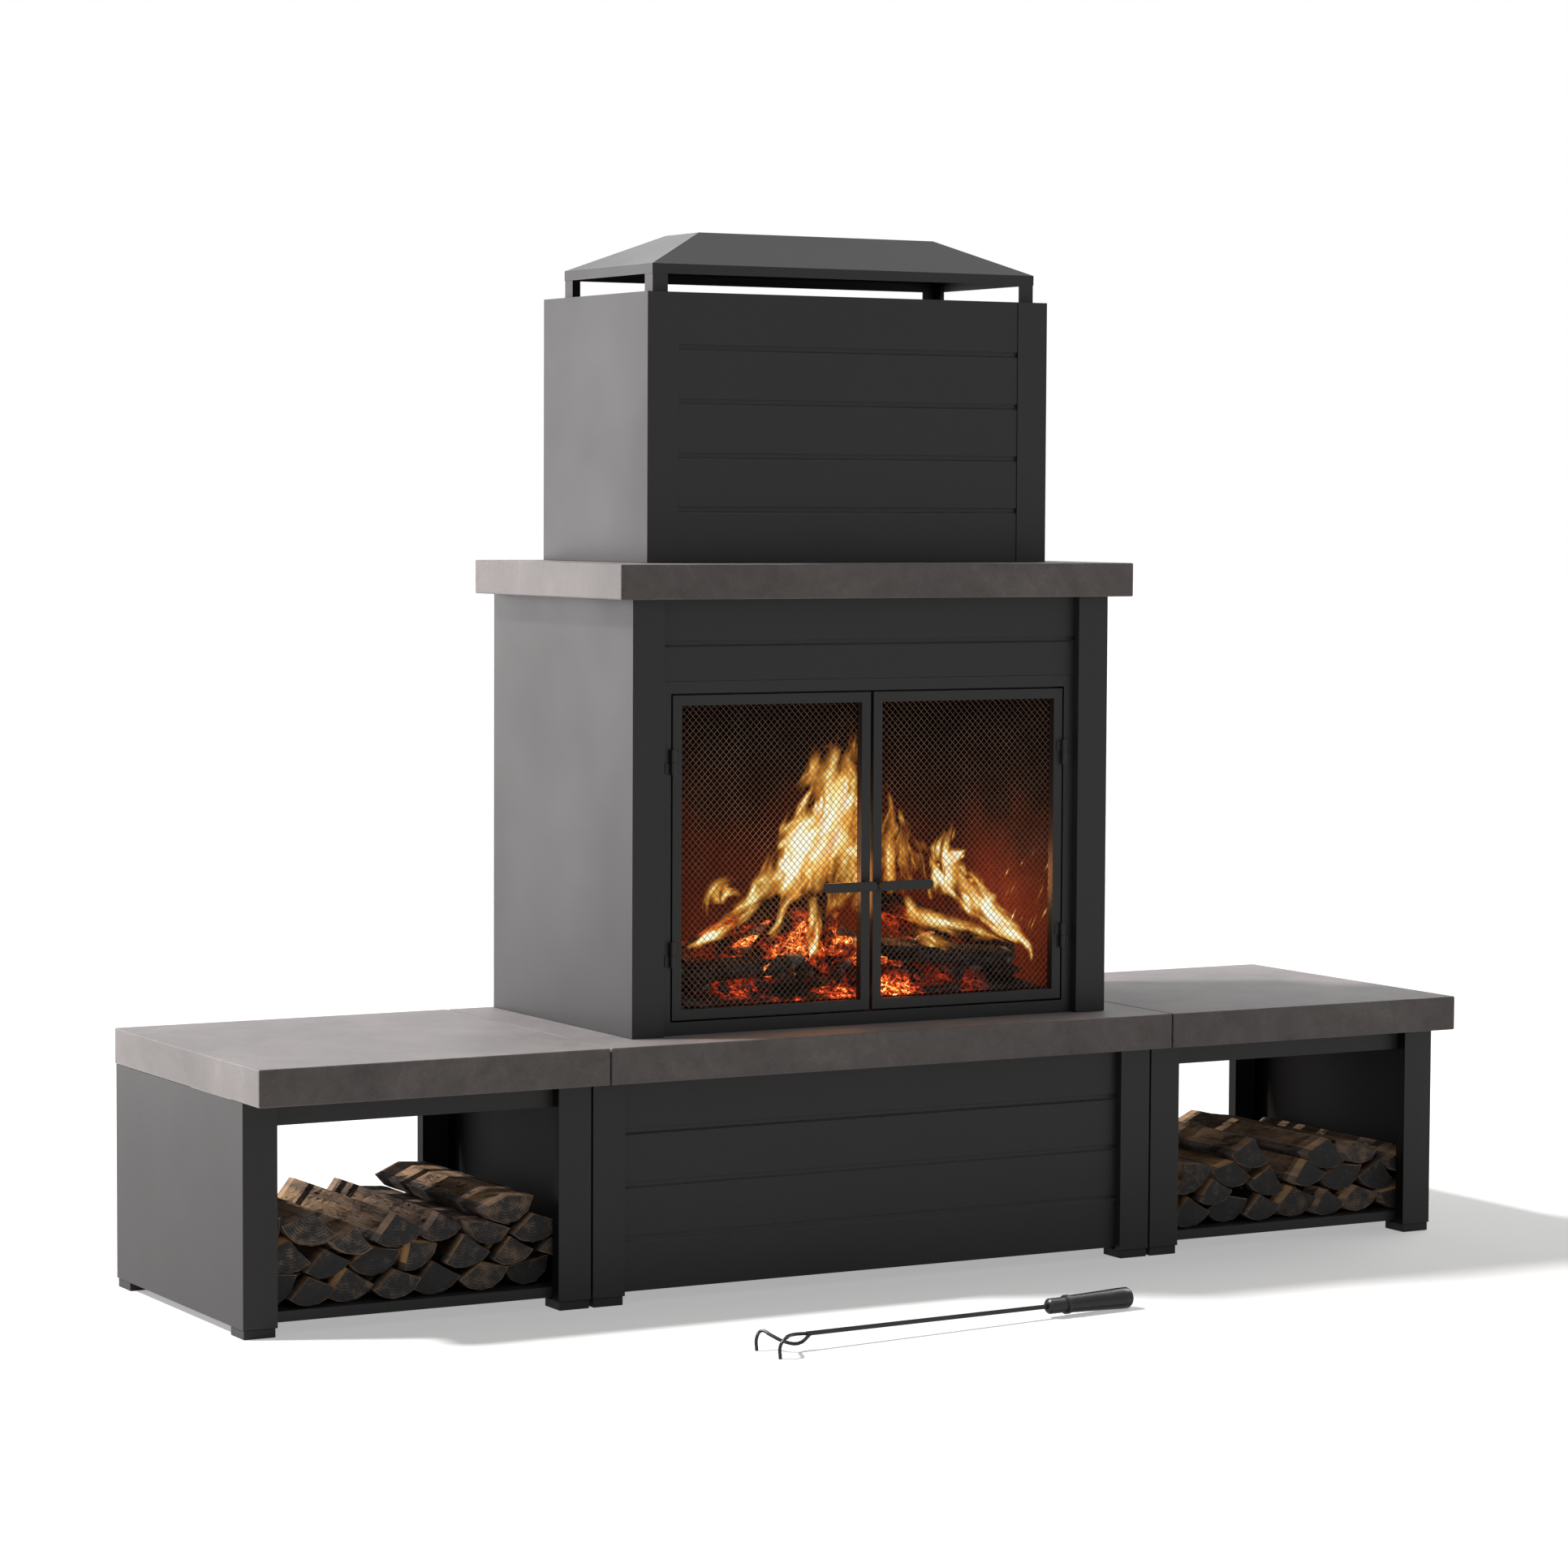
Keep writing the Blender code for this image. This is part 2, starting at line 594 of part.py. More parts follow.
def hearth(steel, stone, rubber):
    """The middle module: a boarded base on four feet under the hearth slab."""
    front, back = body_front + CASING_RECESS, body_back - CASING_RECESS
    lip = CASING_RECESS - GAP
    for name, side in (("base_left_panel", -1), ("base_right_panel", 1)):
        panel = side_panel(name, side * centre_end, -side, body_front, body_back, frame_bottom, frame_top, lip, steel)
        cut_bolt_hole(panel, side)
    inside = centre_end - SHEET - GAP
    bottom = frame_bottom + PANEL_LIFT
    grooves = board_grooves(bottom, frame_top, BASE_BOARDS)
    siding("base_front_panel", -inside, inside, front, 1, bottom, frame_top, grooves, steel)
    siding("base_back_panel", -inside, inside, back, -1, bottom, frame_top, grooves, steel)
    start, end = centre_end - FOOT_INSET - FOOT_SIDE, centre_end - FOOT_INSET
    feet("base", {"left": (-end, -start), "right": (start, end)}, rubber)
    slab_side = (CENTRE_LENGTH - SLAB_SEAM) / 2
    slab("hearth_slab", (-slab_side, slab_front, slab_bottom), (slab_side, slab_back, slab_top), stone)


def firebox(steel, hot_steel):
    """Casing round the fire, its inner liner, floor tray and top plate."""
    lip = CASING_RECESS - GAP
    for name, side in (("firebox_left_panel", -1), ("firebox_right_panel", 1)):
        side_panel(name, side * firebox_side, -side, firebox_front, firebox_back, firebox_bottom, firebox_top,
                   lip, steel)
    back_plane = firebox_back - CASING_RECESS
    siding("firebox_back_panel", -infill_side, infill_side, back_plane, -1, firebox_bottom, firebox_top,
           board_grooves(firebox_bottom, firebox_top, FIREBOX_BACK_BOARDS), steel)
    siding("firebox_header_panel", -infill_side, infill_side, surround_plane, 1, header_bottom, firebox_top,
           [firebox_top - HEADER_GROOVE_DROP], steel)

    liner_side = LINER_WIDTH / 2
    liner_front = surround_plane + jamb_depth + SHEET + LINER_FRONT_SPACE
    liner_back = back_plane - LINER_BACK_SPACE
    bm = bmesh.new()
    add_block(bm, (-liner_side, liner_front, firebox_bottom), (liner_side, liner_back, firebox_top))
    liner = place("firebox_liner", bm, hot_steel)
    tool = bmesh.new()
    add_block(tool, (-liner_side + PLATE, liner_front - OVERRUN, firebox_bottom - OVERRUN),
              (liner_side - PLATE, liner_back - PLATE, firebox_top - PLATE))
    combine(liner, tool, "DIFFERENCE", "inside")
    tool = bmesh.new()
    add_block(tool, (-FLUE_WIDTH / 2, flue_y - FLUE_DEPTH / 2, firebox_top - PLATE - OVERRUN),
              (FLUE_WIDTH / 2, flue_y + FLUE_DEPTH / 2, firebox_top + OVERRUN))
    combine(liner, tool, "DIFFERENCE", "flue")

    tray_side = liner_side - PLATE - GAP
    tray_front = liner_front
    tray_back = liner_back - PLATE - GAP
    floor_top = firebox_bottom + PLATE
    rim_top = firebox_bottom + TRAY_RIM
    bm = bmesh.new()
    add_loft(bm, [
        level(-tray_side + PLATE, tray_side - PLATE, tray_front + PLATE, tray_back - PLATE, floor_top),
        level(-tray_side + PLATE, tray_side - PLATE, tray_front + PLATE, tray_back - PLATE, rim_top),
        level(-tray_side, tray_side, tray_front, tray_back, rim_top),
        level(-tray_side, tray_side, tray_front, tray_back, firebox_bottom),
    ], closed=False)
    place("firebox_floor_tray", bm, hot_steel)


def lidded_plate(name, side, front, back, top, finish):
    """A plate with turned-down edges and a hole for the flue."""
    bm = bmesh.new()
    hole_side, hole_front, hole_back = FLUE_WIDTH / 2, flue_y - FLUE_DEPTH / 2, flue_y + FLUE_DEPTH / 2
    edge = top - TOP_PLATE_EDGE
    add_loft(bm, [
        level(-hole_side, hole_side, hole_front, hole_back, top),
        level(-side, side, front, back, top),
        level(-side, side, front, back, edge),
        level(-side + SHEET, side - SHEET, front + SHEET, back - SHEET, edge),
        level(-side + SHEET, side - SHEET, front + SHEET, back - SHEET, top - SHEET),
        level(-hole_side, hole_side, hole_front, hole_back, top - SHEET),
    ], closed=True)
    return place(name, bm, finish)


def mantel_and_chimney(steel, hot_steel, stone):
    """Mantel slab, the flue that passes through it, the chimney casing, and its cap on four legs."""
    mantel_side = firebox_side + MANTEL_SIDE_OVERHANG
    flue_side, flue_half = FLUE_WIDTH / 2, FLUE_DEPTH / 2
    hole_side, hole_half = flue_side + SHEET + GAP, flue_half + SHEET + GAP
    mantel = slab("mantel_slab", (-mantel_side, mantel_front, mantel_bottom), (mantel_side, mantel_back, mantel_top),
                  stone)
    tool = bmesh.new()
    add_block(tool, (-hole_side, flue_y - hole_half, mantel_bottom - OVERRUN),
              (hole_side, flue_y + hole_half, mantel_top + OVERRUN))
    combine(mantel, tool, "DIFFERENCE", "flue")

    for name, side in (("chimney_left_panel", -1), ("chimney_right_panel", 1)):
        side_panel(name, side * chimney_side, -side, chimney_front, chimney_back, chimney_bottom, chimney_top,
                   0, steel)
    inside = chimney_side - SHEET - GAP
    front, back = chimney_front + SHEET + GAP, chimney_back - SHEET - GAP
    grooves = board_grooves(chimney_bottom, chimney_top, CHIMNEY_BOARDS)
    siding("chimney_front_panel", -inside, inside, front, 1, chimney_bottom, chimney_top, grooves, steel)
    siding("chimney_back_panel", -inside, inside, back, -1, chimney_bottom, chimney_top, grooves, steel)
    lidded_plate("chimney_top_plate", inside, front + SIDING_RETURN + GAP, back - SIDING_RETURN - GAP,
                 chimney_top, steel)

    bottom, top = mantel_top + GAP, chimney_top - SHEET - GAP
    start = firebox_top + GAP
    bm = bmesh.new()
    flange_side, flange_half = flue_side + SHEET + FLUE_FLANGE, flue_half + SHEET + FLUE_FLANGE

    def flue_loop(reach_x, reach_y, z):
        return level(-reach_x, reach_x, flue_y - reach_y, flue_y + reach_y, z)

    add_loft(bm, [
        flue_loop(flue_side, flue_half, start), flue_loop(flue_side, flue_half, top),
        flue_loop(flue_side + SHEET, flue_half + SHEET, top),
        flue_loop(flue_side + SHEET, flue_half + SHEET, bottom + SHEET),
        flue_loop(flange_side, flange_half, bottom + SHEET), flue_loop(flange_side, flange_half, bottom),
        flue_loop(flue_side + SHEET, flue_half + SHEET, bottom),
        flue_loop(flue_side + SHEET, flue_half + SHEET, start),
    ], closed=True)
    place("flue_duct", bm, hot_steel)

    cap_y = (cap_front + cap_back) / 2
    flat_side, flat_half = CAP_FLAT_WIDTH / 2, CAP_FLAT_DEPTH / 2
    bm = bmesh.new()
    add_loft(bm, [
        level(-flat_side, flat_side, cap_y - flat_half, cap_y + flat_half, cap_top),
        level(-cap_side, cap_side, cap_front, cap_back, skirt_top),
        level(-cap_side, cap_side, cap_front, cap_back, skirt_bottom),
        level(-cap_side + SHEET, cap_side - SHEET, cap_front + SHEET, cap_back - SHEET, skirt_bottom),
        level(-cap_side + SHEET, cap_side - SHEET, cap_front + SHEET, cap_back - SHEET, skirt_top - SHEET),
        level(-flat_side, flat_side, cap_y - flat_half, cap_y + flat_half, cap_top - SHEET),
    ], closed=False)
    cap = place("chimney_cap", bm, steel)

    bm = bmesh.new()
    for side in (-1, 1):
        for inward, corner_y in ((1, cap_front + SHEET - WELD), (-1, cap_back - SHEET + WELD)):
            corner_x = side * (cap_side - SHEET + WELD)
            outline = sheet_outline([(LEG_WIDTH, 0), (0, 0), (0, LEG_WIDTH)], SHEET)
            base = [(corner_x - side * x, corner_y + inward * y, chimney_top + GAP) for x, y in outline]
            add_prism(bm, base, (0, 0, SMOKE_GAP + LEG_LAP - GAP))
    combine(cap, bm, "UNION", "legs")


def door_surround(finish):
    """A sheet frame round the doors: a face flange, a jamb and a stop that the doors close against."""
    lap = firebox_side - POST_WIDTH + SURROUND_LAP
    left, right = -opening_side, opening_side
    bottom, top = opening_bottom, opening_top
    face, stop = surround_plane, surround_plane + jamb_depth
    outer = (-lap, lap, firebox_bottom, header_bottom - GAP)
    bm = bmesh.new()
    add_loft(bm, [
        upright(*outer, face), upright(left, right, bottom, top, face), upright(left, right, bottom, top, stop),
        upright(left + DOOR_STOP, right - DOOR_STOP, bottom + DOOR_STOP, top - DOOR_STOP, stop),
        upright(left + DOOR_STOP, right - DOOR_STOP, bottom + DOOR_STOP, top - DOOR_STOP, stop + SHEET),
        upright(left - SHEET, right + SHEET, bottom - SHEET, top + SHEET, stop + SHEET),
        upright(left - SHEET, right + SHEET, bottom - SHEET, top + SHEET, face + SHEET),
        upright(*outer, face + SHEET),
    ], closed=True)
    return place("door_surround", bm, finish)


def door(side_name, side, surround, steel, net_steel):
    """One door: a channel frame with a wire net behind it, a bar handle and its hinges."""
    left, right = sorted((side * door_inner, side * door_outer))
    front, back = surround_plane, surround_plane + DOOR_DEPTH
    member, wall = DOOR_MEMBER, SHEET
    bm = bmesh.new()

    def loop(inset, y):
        return upright(left + inset, right - inset, door_bottom + inset, door_top - inset, y)

    add_loft(bm, [
        loop(0, front), loop(member, front), loop(member, back), loop(member - wall, back),
        loop(member - wall, front + wall), loop(wall, front + wall), loop(wall, back), loop(0, back),
    ], closed=True)
    frame = place(f"{side_name}_door_frame", bm, steel)

    net_left, net_right = left + member - NET_LAP, right - member + NET_LAP
    net_bottom, net_top = door_bottom + member - NET_LAP, door_top - member + NET_LAP
    mesh = net(f"{side_name}_door_mesh", net_left, net_right, net_bottom, net_top, net_steel)
    bar = handle(f"{side_name}_door_handle", side, steel)
    hinges(side, frame, surround)
    hang(f"{side_name}_door_pivot", (side * hinge_x, hinge_y, hinge_z), (frame, mesh, bar))


def net(name, left, right, bottom, top, finish):
    """A diamond net in one piece: a grid is poked, its own lines are dissolved and the rest is made wire."""
    bm = bmesh.new()
    inset = NET_WIRE / 2
    width, height = right - left - 2 * inset, top - bottom - 2 * inset
    size_and_place = (Matrix.Translation(((left + right) / 2, net_plane + inset, (bottom + top) / 2))
                      @ Matrix.Rotation(pi / 2, 4, "X") @ Matrix.Diagonal((width, height, 1.0, 1.0)))
    bmesh.ops.create_grid(bm, x_segments=NET_COLUMNS, y_segments=NET_ROWS, size=0.5, matrix=size_and_place)
    lines = [edge for edge in bm.edges if not edge.is_boundary]
    bmesh.ops.poke(bm, faces=bm.faces[:])
    bmesh.ops.dissolve_edges(bm, edges=lines, use_verts=False)
    bmesh.ops.wireframe(bm, faces=bm.faces[:], thickness=NET_WIRE, offset=0.0, use_replace=True,
                        use_boundary=True, use_even_offset=True)
    return place(name, bm, finish)


def handle(name, side, finish):
    """A flat bar with round ends, held off the door by a stem with a collar."""
    radius = HANDLE_HEIGHT / 2
    height = opening_bottom + HANDLE_ABOVE_SILL
    near, far = door_inner + radius, door_inner + HANDLE_LENGTH - radius
    arc = [pi * (i / HANDLE_END_STEPS - 0.5) for i in range(HANDLE_END_STEPS + 1)]
    outline = [(far + radius * cos(a), radius * sin(a)) for a in arc]
    outline += [(near - radius * cos(a), -radius * sin(a)) for a in arc]
    bar_back = surround_plane - HANDLE_STANDOFF
    bm = bmesh.new()
    corners = [(side * x, bar_back - HANDLE_THICKNESS, height + z) for x, z in outline]
    add_prism(bm, corners, (0, HANDLE_THICKNESS, 0))
    made = place(name, bm, finish)
    start = surround_plane - GAP
    reach = HANDLE_STANDOFF + HANDLE_THICKNESS / 2 - GAP
    profile = [(0, 0), (HANDLE_COLLAR_RADIUS, 0), (HANDLE_COLLAR_RADIUS, HANDLE_COLLAR_THICKNESS),
               (HANDLE_STEM_RADIUS, HANDLE_COLLAR_THICKNESS), (HANDLE_STEM_RADIUS, reach), (0, reach)]
    tool = bmesh.new()
    stile_x = side * (door_inner + DOOR_MEMBER / 2)
    forward = Matrix.Translation((stile_x, start, height)) @ Matrix.Rotation(pi / 2, 4, "X")
    add_turned(tool, profile, STEM_SIDES, forward)
    combine(made, tool, "UNION", "stem")
    return made


def hinges(side, frame, surround):
    """Lift-off hinges: a pin is welded to the surround, and a sleeve on the door drops over it."""
    axis_x = side * hinge_x
    tab_front = surround_plane - HINGE_TAB_THICKNESS
    tab_back = surround_plane + WELD
    pin_reach = KNUCKLE_HEIGHT * 0.75
    bore = HINGE_PIN_RADIUS + GAP
    tab_rise = (KNUCKLE_HEIGHT - HINGE_TAB_HEIGHT) / 2
    for order, z in (("low", opening_bottom + HINGE_END_DISTANCE), ("high", opening_top - HINGE_END_DISTANCE)):
        at = Matrix.Translation((axis_x, hinge_y, z))
        outward = sorted((axis_x + side * HINGE_RADIUS * 0.4, axis_x + side * HINGE_TAB_REACH))
        bm = bmesh.new()
        add_turned(bm, [(0, -KNUCKLE_HEIGHT), (HINGE_RADIUS, -KNUCKLE_HEIGHT), (HINGE_RADIUS, 0),
                        (HINGE_PIN_RADIUS, 0), (HINGE_PIN_RADIUS, pin_reach), (0, pin_reach)], HINGE_SIDES, at)
        add_block(bm, (outward[0], tab_front, z - tab_rise - HINGE_TAB_HEIGHT), (outward[1], tab_back, z - tab_rise))
        fuse(surround, bm, f"{side}_{order}_pin")
        inward = sorted((axis_x - side * HINGE_RADIUS * 0.4, axis_x - side * HINGE_TAB_REACH))
        bm = bmesh.new()
        add_turned(bm, [(0, pin_reach + GAP), (bore, pin_reach + GAP), (bore, GAP), (HINGE_RADIUS, GAP),
                        (HINGE_RADIUS, KNUCKLE_HEIGHT), (0, KNUCKLE_HEIGHT)], HINGE_SIDES, at)
        add_block(bm, (inward[0], tab_front, z + tab_rise), (inward[1], tab_back, z + tab_rise + HINGE_TAB_HEIGHT))
        fuse(frame, bm, f"{order}_sleeve")


def fire(cast_iron, charcoal, charred):
    """A low grate on the floor tray, the bed of charcoal on it, and logs that lean together over it."""
    floor = firebox_bottom + PLATE + GAP
    middle = (surround_plane + jamb_depth + firebox_back - CASING_RECESS - LINER_BACK_SPACE) / 2
    side, front, back = GRATE_WIDTH / 2, middle - GRATE_DEPTH / 2, middle + GRATE_DEPTH / 2
    bar_bottom = floor + GRATE_LEG
    bar_top = bar_bottom + GRATE_BAR
    bm = bmesh.new()
    for i in range(GRATE_BARS):
        x = -side + (GRATE_WIDTH - GRATE_BAR) * i / (GRATE_BARS - 1)
        add_block(bm, (x, front, bar_bottom), (x + GRATE_BAR, back, bar_top))
    grate = place("fire_grate", bm, cast_iron)
    tool = bmesh.new()
    half_bar = bar_bottom + GRATE_BAR / 2
    for y in (front + GRATE_END_DISTANCE, back - GRATE_END_DISTANCE - GRATE_BAR):
        leg_x = side - GRATE_END_DISTANCE
        outline = [(-side + GAP, half_bar), (-side + GAP, bar_bottom - GAP), (-leg_x, bar_bottom - GAP),
                   (-leg_x, floor), (-leg_x + GRATE_BAR, floor), (-leg_x + GRATE_BAR, bar_bottom - GAP)]
        outline += [(-x, z) for x, z in reversed(outline)]
        add_prism(tool, [(x, y, z) for x, z in outline], (0, GRATE_BAR, 0))
    combine(grate, tool, "UNION", "crossbars")

    bed_bottom = bar_top + GAP
    bed_top = bed_bottom + BED_HEIGHT
    bed_side = side - BED_SIDE_INSET
    bed_front, bed_back = front + BED_SIDE_INSET, back - BED_SIDE_INSET
    bm = bmesh.new()
    add_loft(bm, [
        level(-bed_side, bed_side, bed_front, bed_back, bed_bottom),
        level(-bed_side, bed_side, bed_front, bed_back, bed_bottom + BED_HEIGHT / 2),
        level(-bed_side + BED_SLOPE, bed_side - BED_SLOPE, bed_front + BED_SLOPE, bed_back - BED_SLOPE, bed_top),
    ], closed=False)
    place("charcoal_bed", bm, charcoal)

    logs = place("burning_logs", bmesh.new(), charred)
    top_side, top_front, top_back = bed_side - BED_SLOPE, bed_front + BED_SLOPE, bed_back - BED_SLOPE
    bm = bmesh.new()
    for start, end, split, turn in FIRE_LOG_SHARES:
        ends = [Vector((-top_side + 2 * top_side * x, top_front + (top_back - top_front) * y, FIRE_REACH * z))
                for x, y, z in (start, end)]
        along = ends[1] - ends[0]
        lie = along.to_track_quat("Y", "Z").to_matrix().to_4x4()
        known = set(bm.verts)
        add_prism(bm, [(p.x, 0, p.y) for p in log_section(FIRE_LOG, split, turn)], (0, along.length, 0))
        log = [v for v in bm.verts if v not in known]
        bmesh.ops.transform(bm, matrix=Matrix.Translation(ends[0]) @ lie, verts=log)
        lowest = min(v.co.z for v in log)
        bmesh.ops.translate(bm, verts=log, vec=(0, 0, bed_top + GAP - lowest + FIRE_REACH * min(start[2], end[2])))
    fuse(logs, bm, "logs")


def wire(points, radius, sides):
    """A bmesh of a round wire that runs smoothly through its points."""
    curve = bpy.data.curves.new("wire", "CURVE")
    curve.dimensions = "3D"
    curve.bevel_depth = radius
    curve.bevel_resolution = sides
    curve.use_fill_caps = True
    curve.resolution_u = 4
    spline = curve.splines.new("BEZIER")
    spline.bezier_points.add(len(points) - 1)
    for target, point in zip(spline.bezier_points, points):
        target.co = point
        target.handle_left_type = target.handle_right_type = "AUTO"
    holder = bpy.data.objects.new("wire", curve)
    mesh = bpy.data.meshes.new_from_object(holder)
    bm = bmesh.new()
    bm.from_mesh(mesh)
    bmesh.ops.remove_doubles(bm, verts=bm.verts, dist=MERGE)
    bpy.data.objects.remove(holder)
    bpy.data.meshes.remove(mesh)
    return bm


def poker(steel, black):
    """A two-pronged poker that lies on its prong tips and the end of its grip."""
    drop = POKER_NECK_HEIGHT - GRIP_END_RADIUS
    neck = PRONG_REACH + EYE_LENGTH
    slope = drop / (POKER_LENGTH - neck)

    def axis(u):
        return POKER_NECK_HEIGHT - slope * (u - neck)

    turn = Matrix.Rotation(radians(POKER_ANGLE), 4, "Z")
    lay = Matrix.Rotation(pi / 2, 4, "Y") @ Matrix.Rotation(slope, 4, "Y")
    grip_start = POKER_LENGTH - GRIP_LENGTH
    ferrule_start = grip_start - GAP - FERRULE_LENGTH

    rod = wire([(neck - PRONG_RADIUS, 0, axis(neck - PRONG_RADIUS)),
                (ferrule_start + ROD_INSERT, 0, axis(ferrule_start + ROD_INSERT))], POKER_ROD_RADIUS, 1)
    prongs = []
    for side in (-1, 1):
        dip = EYE_DROP * (1 + side) / 2
        prongs.append(wire([
            (neck + PRONG_RADIUS * (1.6 + 0.6 * side), 0, axis(neck)),
            (PRONG_REACH + EYE_LENGTH * 0.3, -side * EYE_SPREAD, POKER_NECK_HEIGHT - dip),
            (PRONG_REACH * 0.75, side * PRONG_RADIUS * 1.5, POKER_NECK_HEIGHT - dip * 0.7),
            (PRONG_REACH * 0.45, side * PRONG_SPREAD * 0.6, PRONG_HEIGHT * 0.94 - dip * 0.2),
            (PRONG_REACH / 5 + side * PRONG_SKEW, side * PRONG_SPREAD, PRONG_HEIGHT),
            (side * PRONG_SKEW, side * PRONG_SPREAD, PRONG_HEIGHT * 0.7), (side * PRONG_SKEW, side * PRONG_SPREAD, 0),
        ], PRONG_RADIUS, 1))
    for bm in (rod, *prongs):
        bmesh.ops.transform(bm, matrix=turn, verts=bm.verts)
    nearest = min(v.co.y for bm in prongs for v in bm.verts)
    put = Matrix.Translation((-POKER_LEFT, -footprint_depth / 2 - nearest, 0))
    for bm in (rod, *prongs):
        bmesh.ops.transform(bm, matrix=put, verts=bm.verts)
    made = place("poker_rod", rod, steel, smooth=True)
    combine(made, prongs[0], "UNION", "far_prong")
    combine(made, prongs[1], "UNION", "near_prong")

    hole = POKER_ROD_RADIUS + GAP
    insert = ROD_INSERT + GAP
    ring = FERRULE_LENGTH - FERRULE_RING_LENGTH
    ferrule = [(0, insert), (hole, insert), (hole, 0), (FERRULE_RADIUS * 0.7, 0),
               (FERRULE_RADIUS, FERRULE_RADIUS * 0.3), (FERRULE_RADIUS, ring), (FERRULE_RING_RADIUS, ring),
               (FERRULE_RING_RADIUS, FERRULE_LENGTH), (0, FERRULE_LENGTH)]
    at = put @ turn @ Matrix.Translation((ferrule_start, 0, axis(ferrule_start))) @ lay
    bm = bmesh.new()
    add_turned(bm, ferrule, TURNED_SIDES, at)
    collar = place("poker_ferrule", bm, steel, smooth=True)
    grip = [(0, 0), (GRIP_RADIUS, 0), (GRIP_END_RADIUS - GRIP_ROUND / 4, GRIP_LENGTH * 0.55),
            (GRIP_END_RADIUS, GRIP_LENGTH * 0.85), (GRIP_END_RADIUS, GRIP_LENGTH - GRIP_ROUND),
            (GRIP_END_RADIUS - GRIP_ROUND * 0.4, GRIP_LENGTH - GRIP_ROUND * 0.3),
            (GRIP_END_RADIUS - GRIP_ROUND, GRIP_LENGTH), (0, GRIP_LENGTH)]
    at = put @ turn @ Matrix.Translation((grip_start, 0, axis(grip_start))) @ lay
    bm = bmesh.new()
    add_turned(bm, grip, TURNED_SIDES, at)
    end = place("poker_grip", bm, black, smooth=True)
    hang("poker_pivot", put @ turn @ Vector((neck, 0, axis(neck))), (made, collar, end))


def main():
    clear_scene()
    steel = material("charcoal_steel", (0.045, 0.044, 0.046), 0.55, 0.3)
    dark_steel = material("black_door_steel", (0.025, 0.025, 0.026), 0.5, 0.3)
    hot_steel = material("sooty_steel", (0.02, 0.018, 0.017), 0.9, 0.1)
    stone = material("cast_concrete", (0.13, 0.12, 0.117), 0.8)
    rubber = material("black_plastic", (0.02, 0.02, 0.02), 0.7)
    wood = material("split_firewood", (0.25, 0.16, 0.10), 0.85)
    charred = material("charred_wood", (0.05, 0.03, 0.02), 0.95)
    charcoal = material("charcoal", (0.03, 0.025, 0.022), 0.95)
    cast_iron = material("cast_iron", (0.03, 0.03, 0.03), 0.7, 0.4)
    net_steel = material("net_steel", (0.20, 0.16, 0.13), 0.5, 0.6)
    zinc = material("zinc_bolts", (0.4, 0.4, 0.4), 0.4, 0.9)
    black = material("black_grip", (0.012, 0.012, 0.012), 0.3)

    bench("left", -1, LEFT_LOG_SHARES, (steel, stone, rubber, wood))
    bench("right", 1, RIGHT_LOG_SHARES, (steel, stone, rubber, wood))
    hearth(steel, stone, rubber)
    joining_bolt("left_bench_bolt", -1, zinc)
    joining_bolt("right_bench_bolt", 1, zinc)
    firebox(steel, hot_steel)
    surround = door_surround(dark_steel)
    mantel_and_chimney(steel, hot_steel, stone)
    door("left", -1, surround, dark_steel, net_steel)
    door("right", 1, surround, dark_steel, net_steel)
    fire(cast_iron, charcoal, charred)
    poker(steel, black)


main()
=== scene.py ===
# %% [markdown]
# # A wood-burning fireplace, dressed for a photograph
#
# This lesson takes the plain solids of an outdoor fireplace and gives each visible surface its finish. Some
# solids only need a better material. Others stand in for things too fine for a solid, such as the wire net in
# the doors, the split logs, the embers and the flames, and those are modelled here.

import json
import random
from math import cos, pi, radians, sin

import bmesh
import bpy
from mathutils import Matrix, Vector, noise


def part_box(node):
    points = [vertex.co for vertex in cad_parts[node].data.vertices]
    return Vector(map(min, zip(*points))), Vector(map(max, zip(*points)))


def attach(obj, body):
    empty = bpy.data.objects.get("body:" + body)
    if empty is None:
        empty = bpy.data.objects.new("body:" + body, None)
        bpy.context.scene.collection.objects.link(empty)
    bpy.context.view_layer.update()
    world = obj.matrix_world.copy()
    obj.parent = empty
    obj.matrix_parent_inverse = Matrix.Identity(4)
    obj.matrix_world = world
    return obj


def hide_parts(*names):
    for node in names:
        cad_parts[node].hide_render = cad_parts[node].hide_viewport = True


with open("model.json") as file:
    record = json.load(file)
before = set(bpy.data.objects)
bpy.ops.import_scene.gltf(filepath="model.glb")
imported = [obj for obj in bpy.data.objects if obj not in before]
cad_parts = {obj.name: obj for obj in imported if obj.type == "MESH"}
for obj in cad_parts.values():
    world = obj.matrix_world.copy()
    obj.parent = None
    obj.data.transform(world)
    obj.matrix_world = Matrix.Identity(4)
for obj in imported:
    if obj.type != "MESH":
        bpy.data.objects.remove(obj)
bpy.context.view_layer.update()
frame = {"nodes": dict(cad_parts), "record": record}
print("fireplace loaded:", len(frame["nodes"]), "nodes")

# %% [markdown]
# ## The camera
#
# The photograph was taken with a long lens from the front left, a little above the benches. Its place was
# fitted to the slabs and casings. It comes first because the flames are set where the picture shows them.

# %% Put things into the scene
def put(name, data, place=None):
    """Adds an object to the scene, with a place and turn if they are given."""
    placed = bpy.data.objects.new(name, data)
    if place:
        placed.matrix_world = place
    bpy.context.scene.collection.objects.link(placed)
    return placed


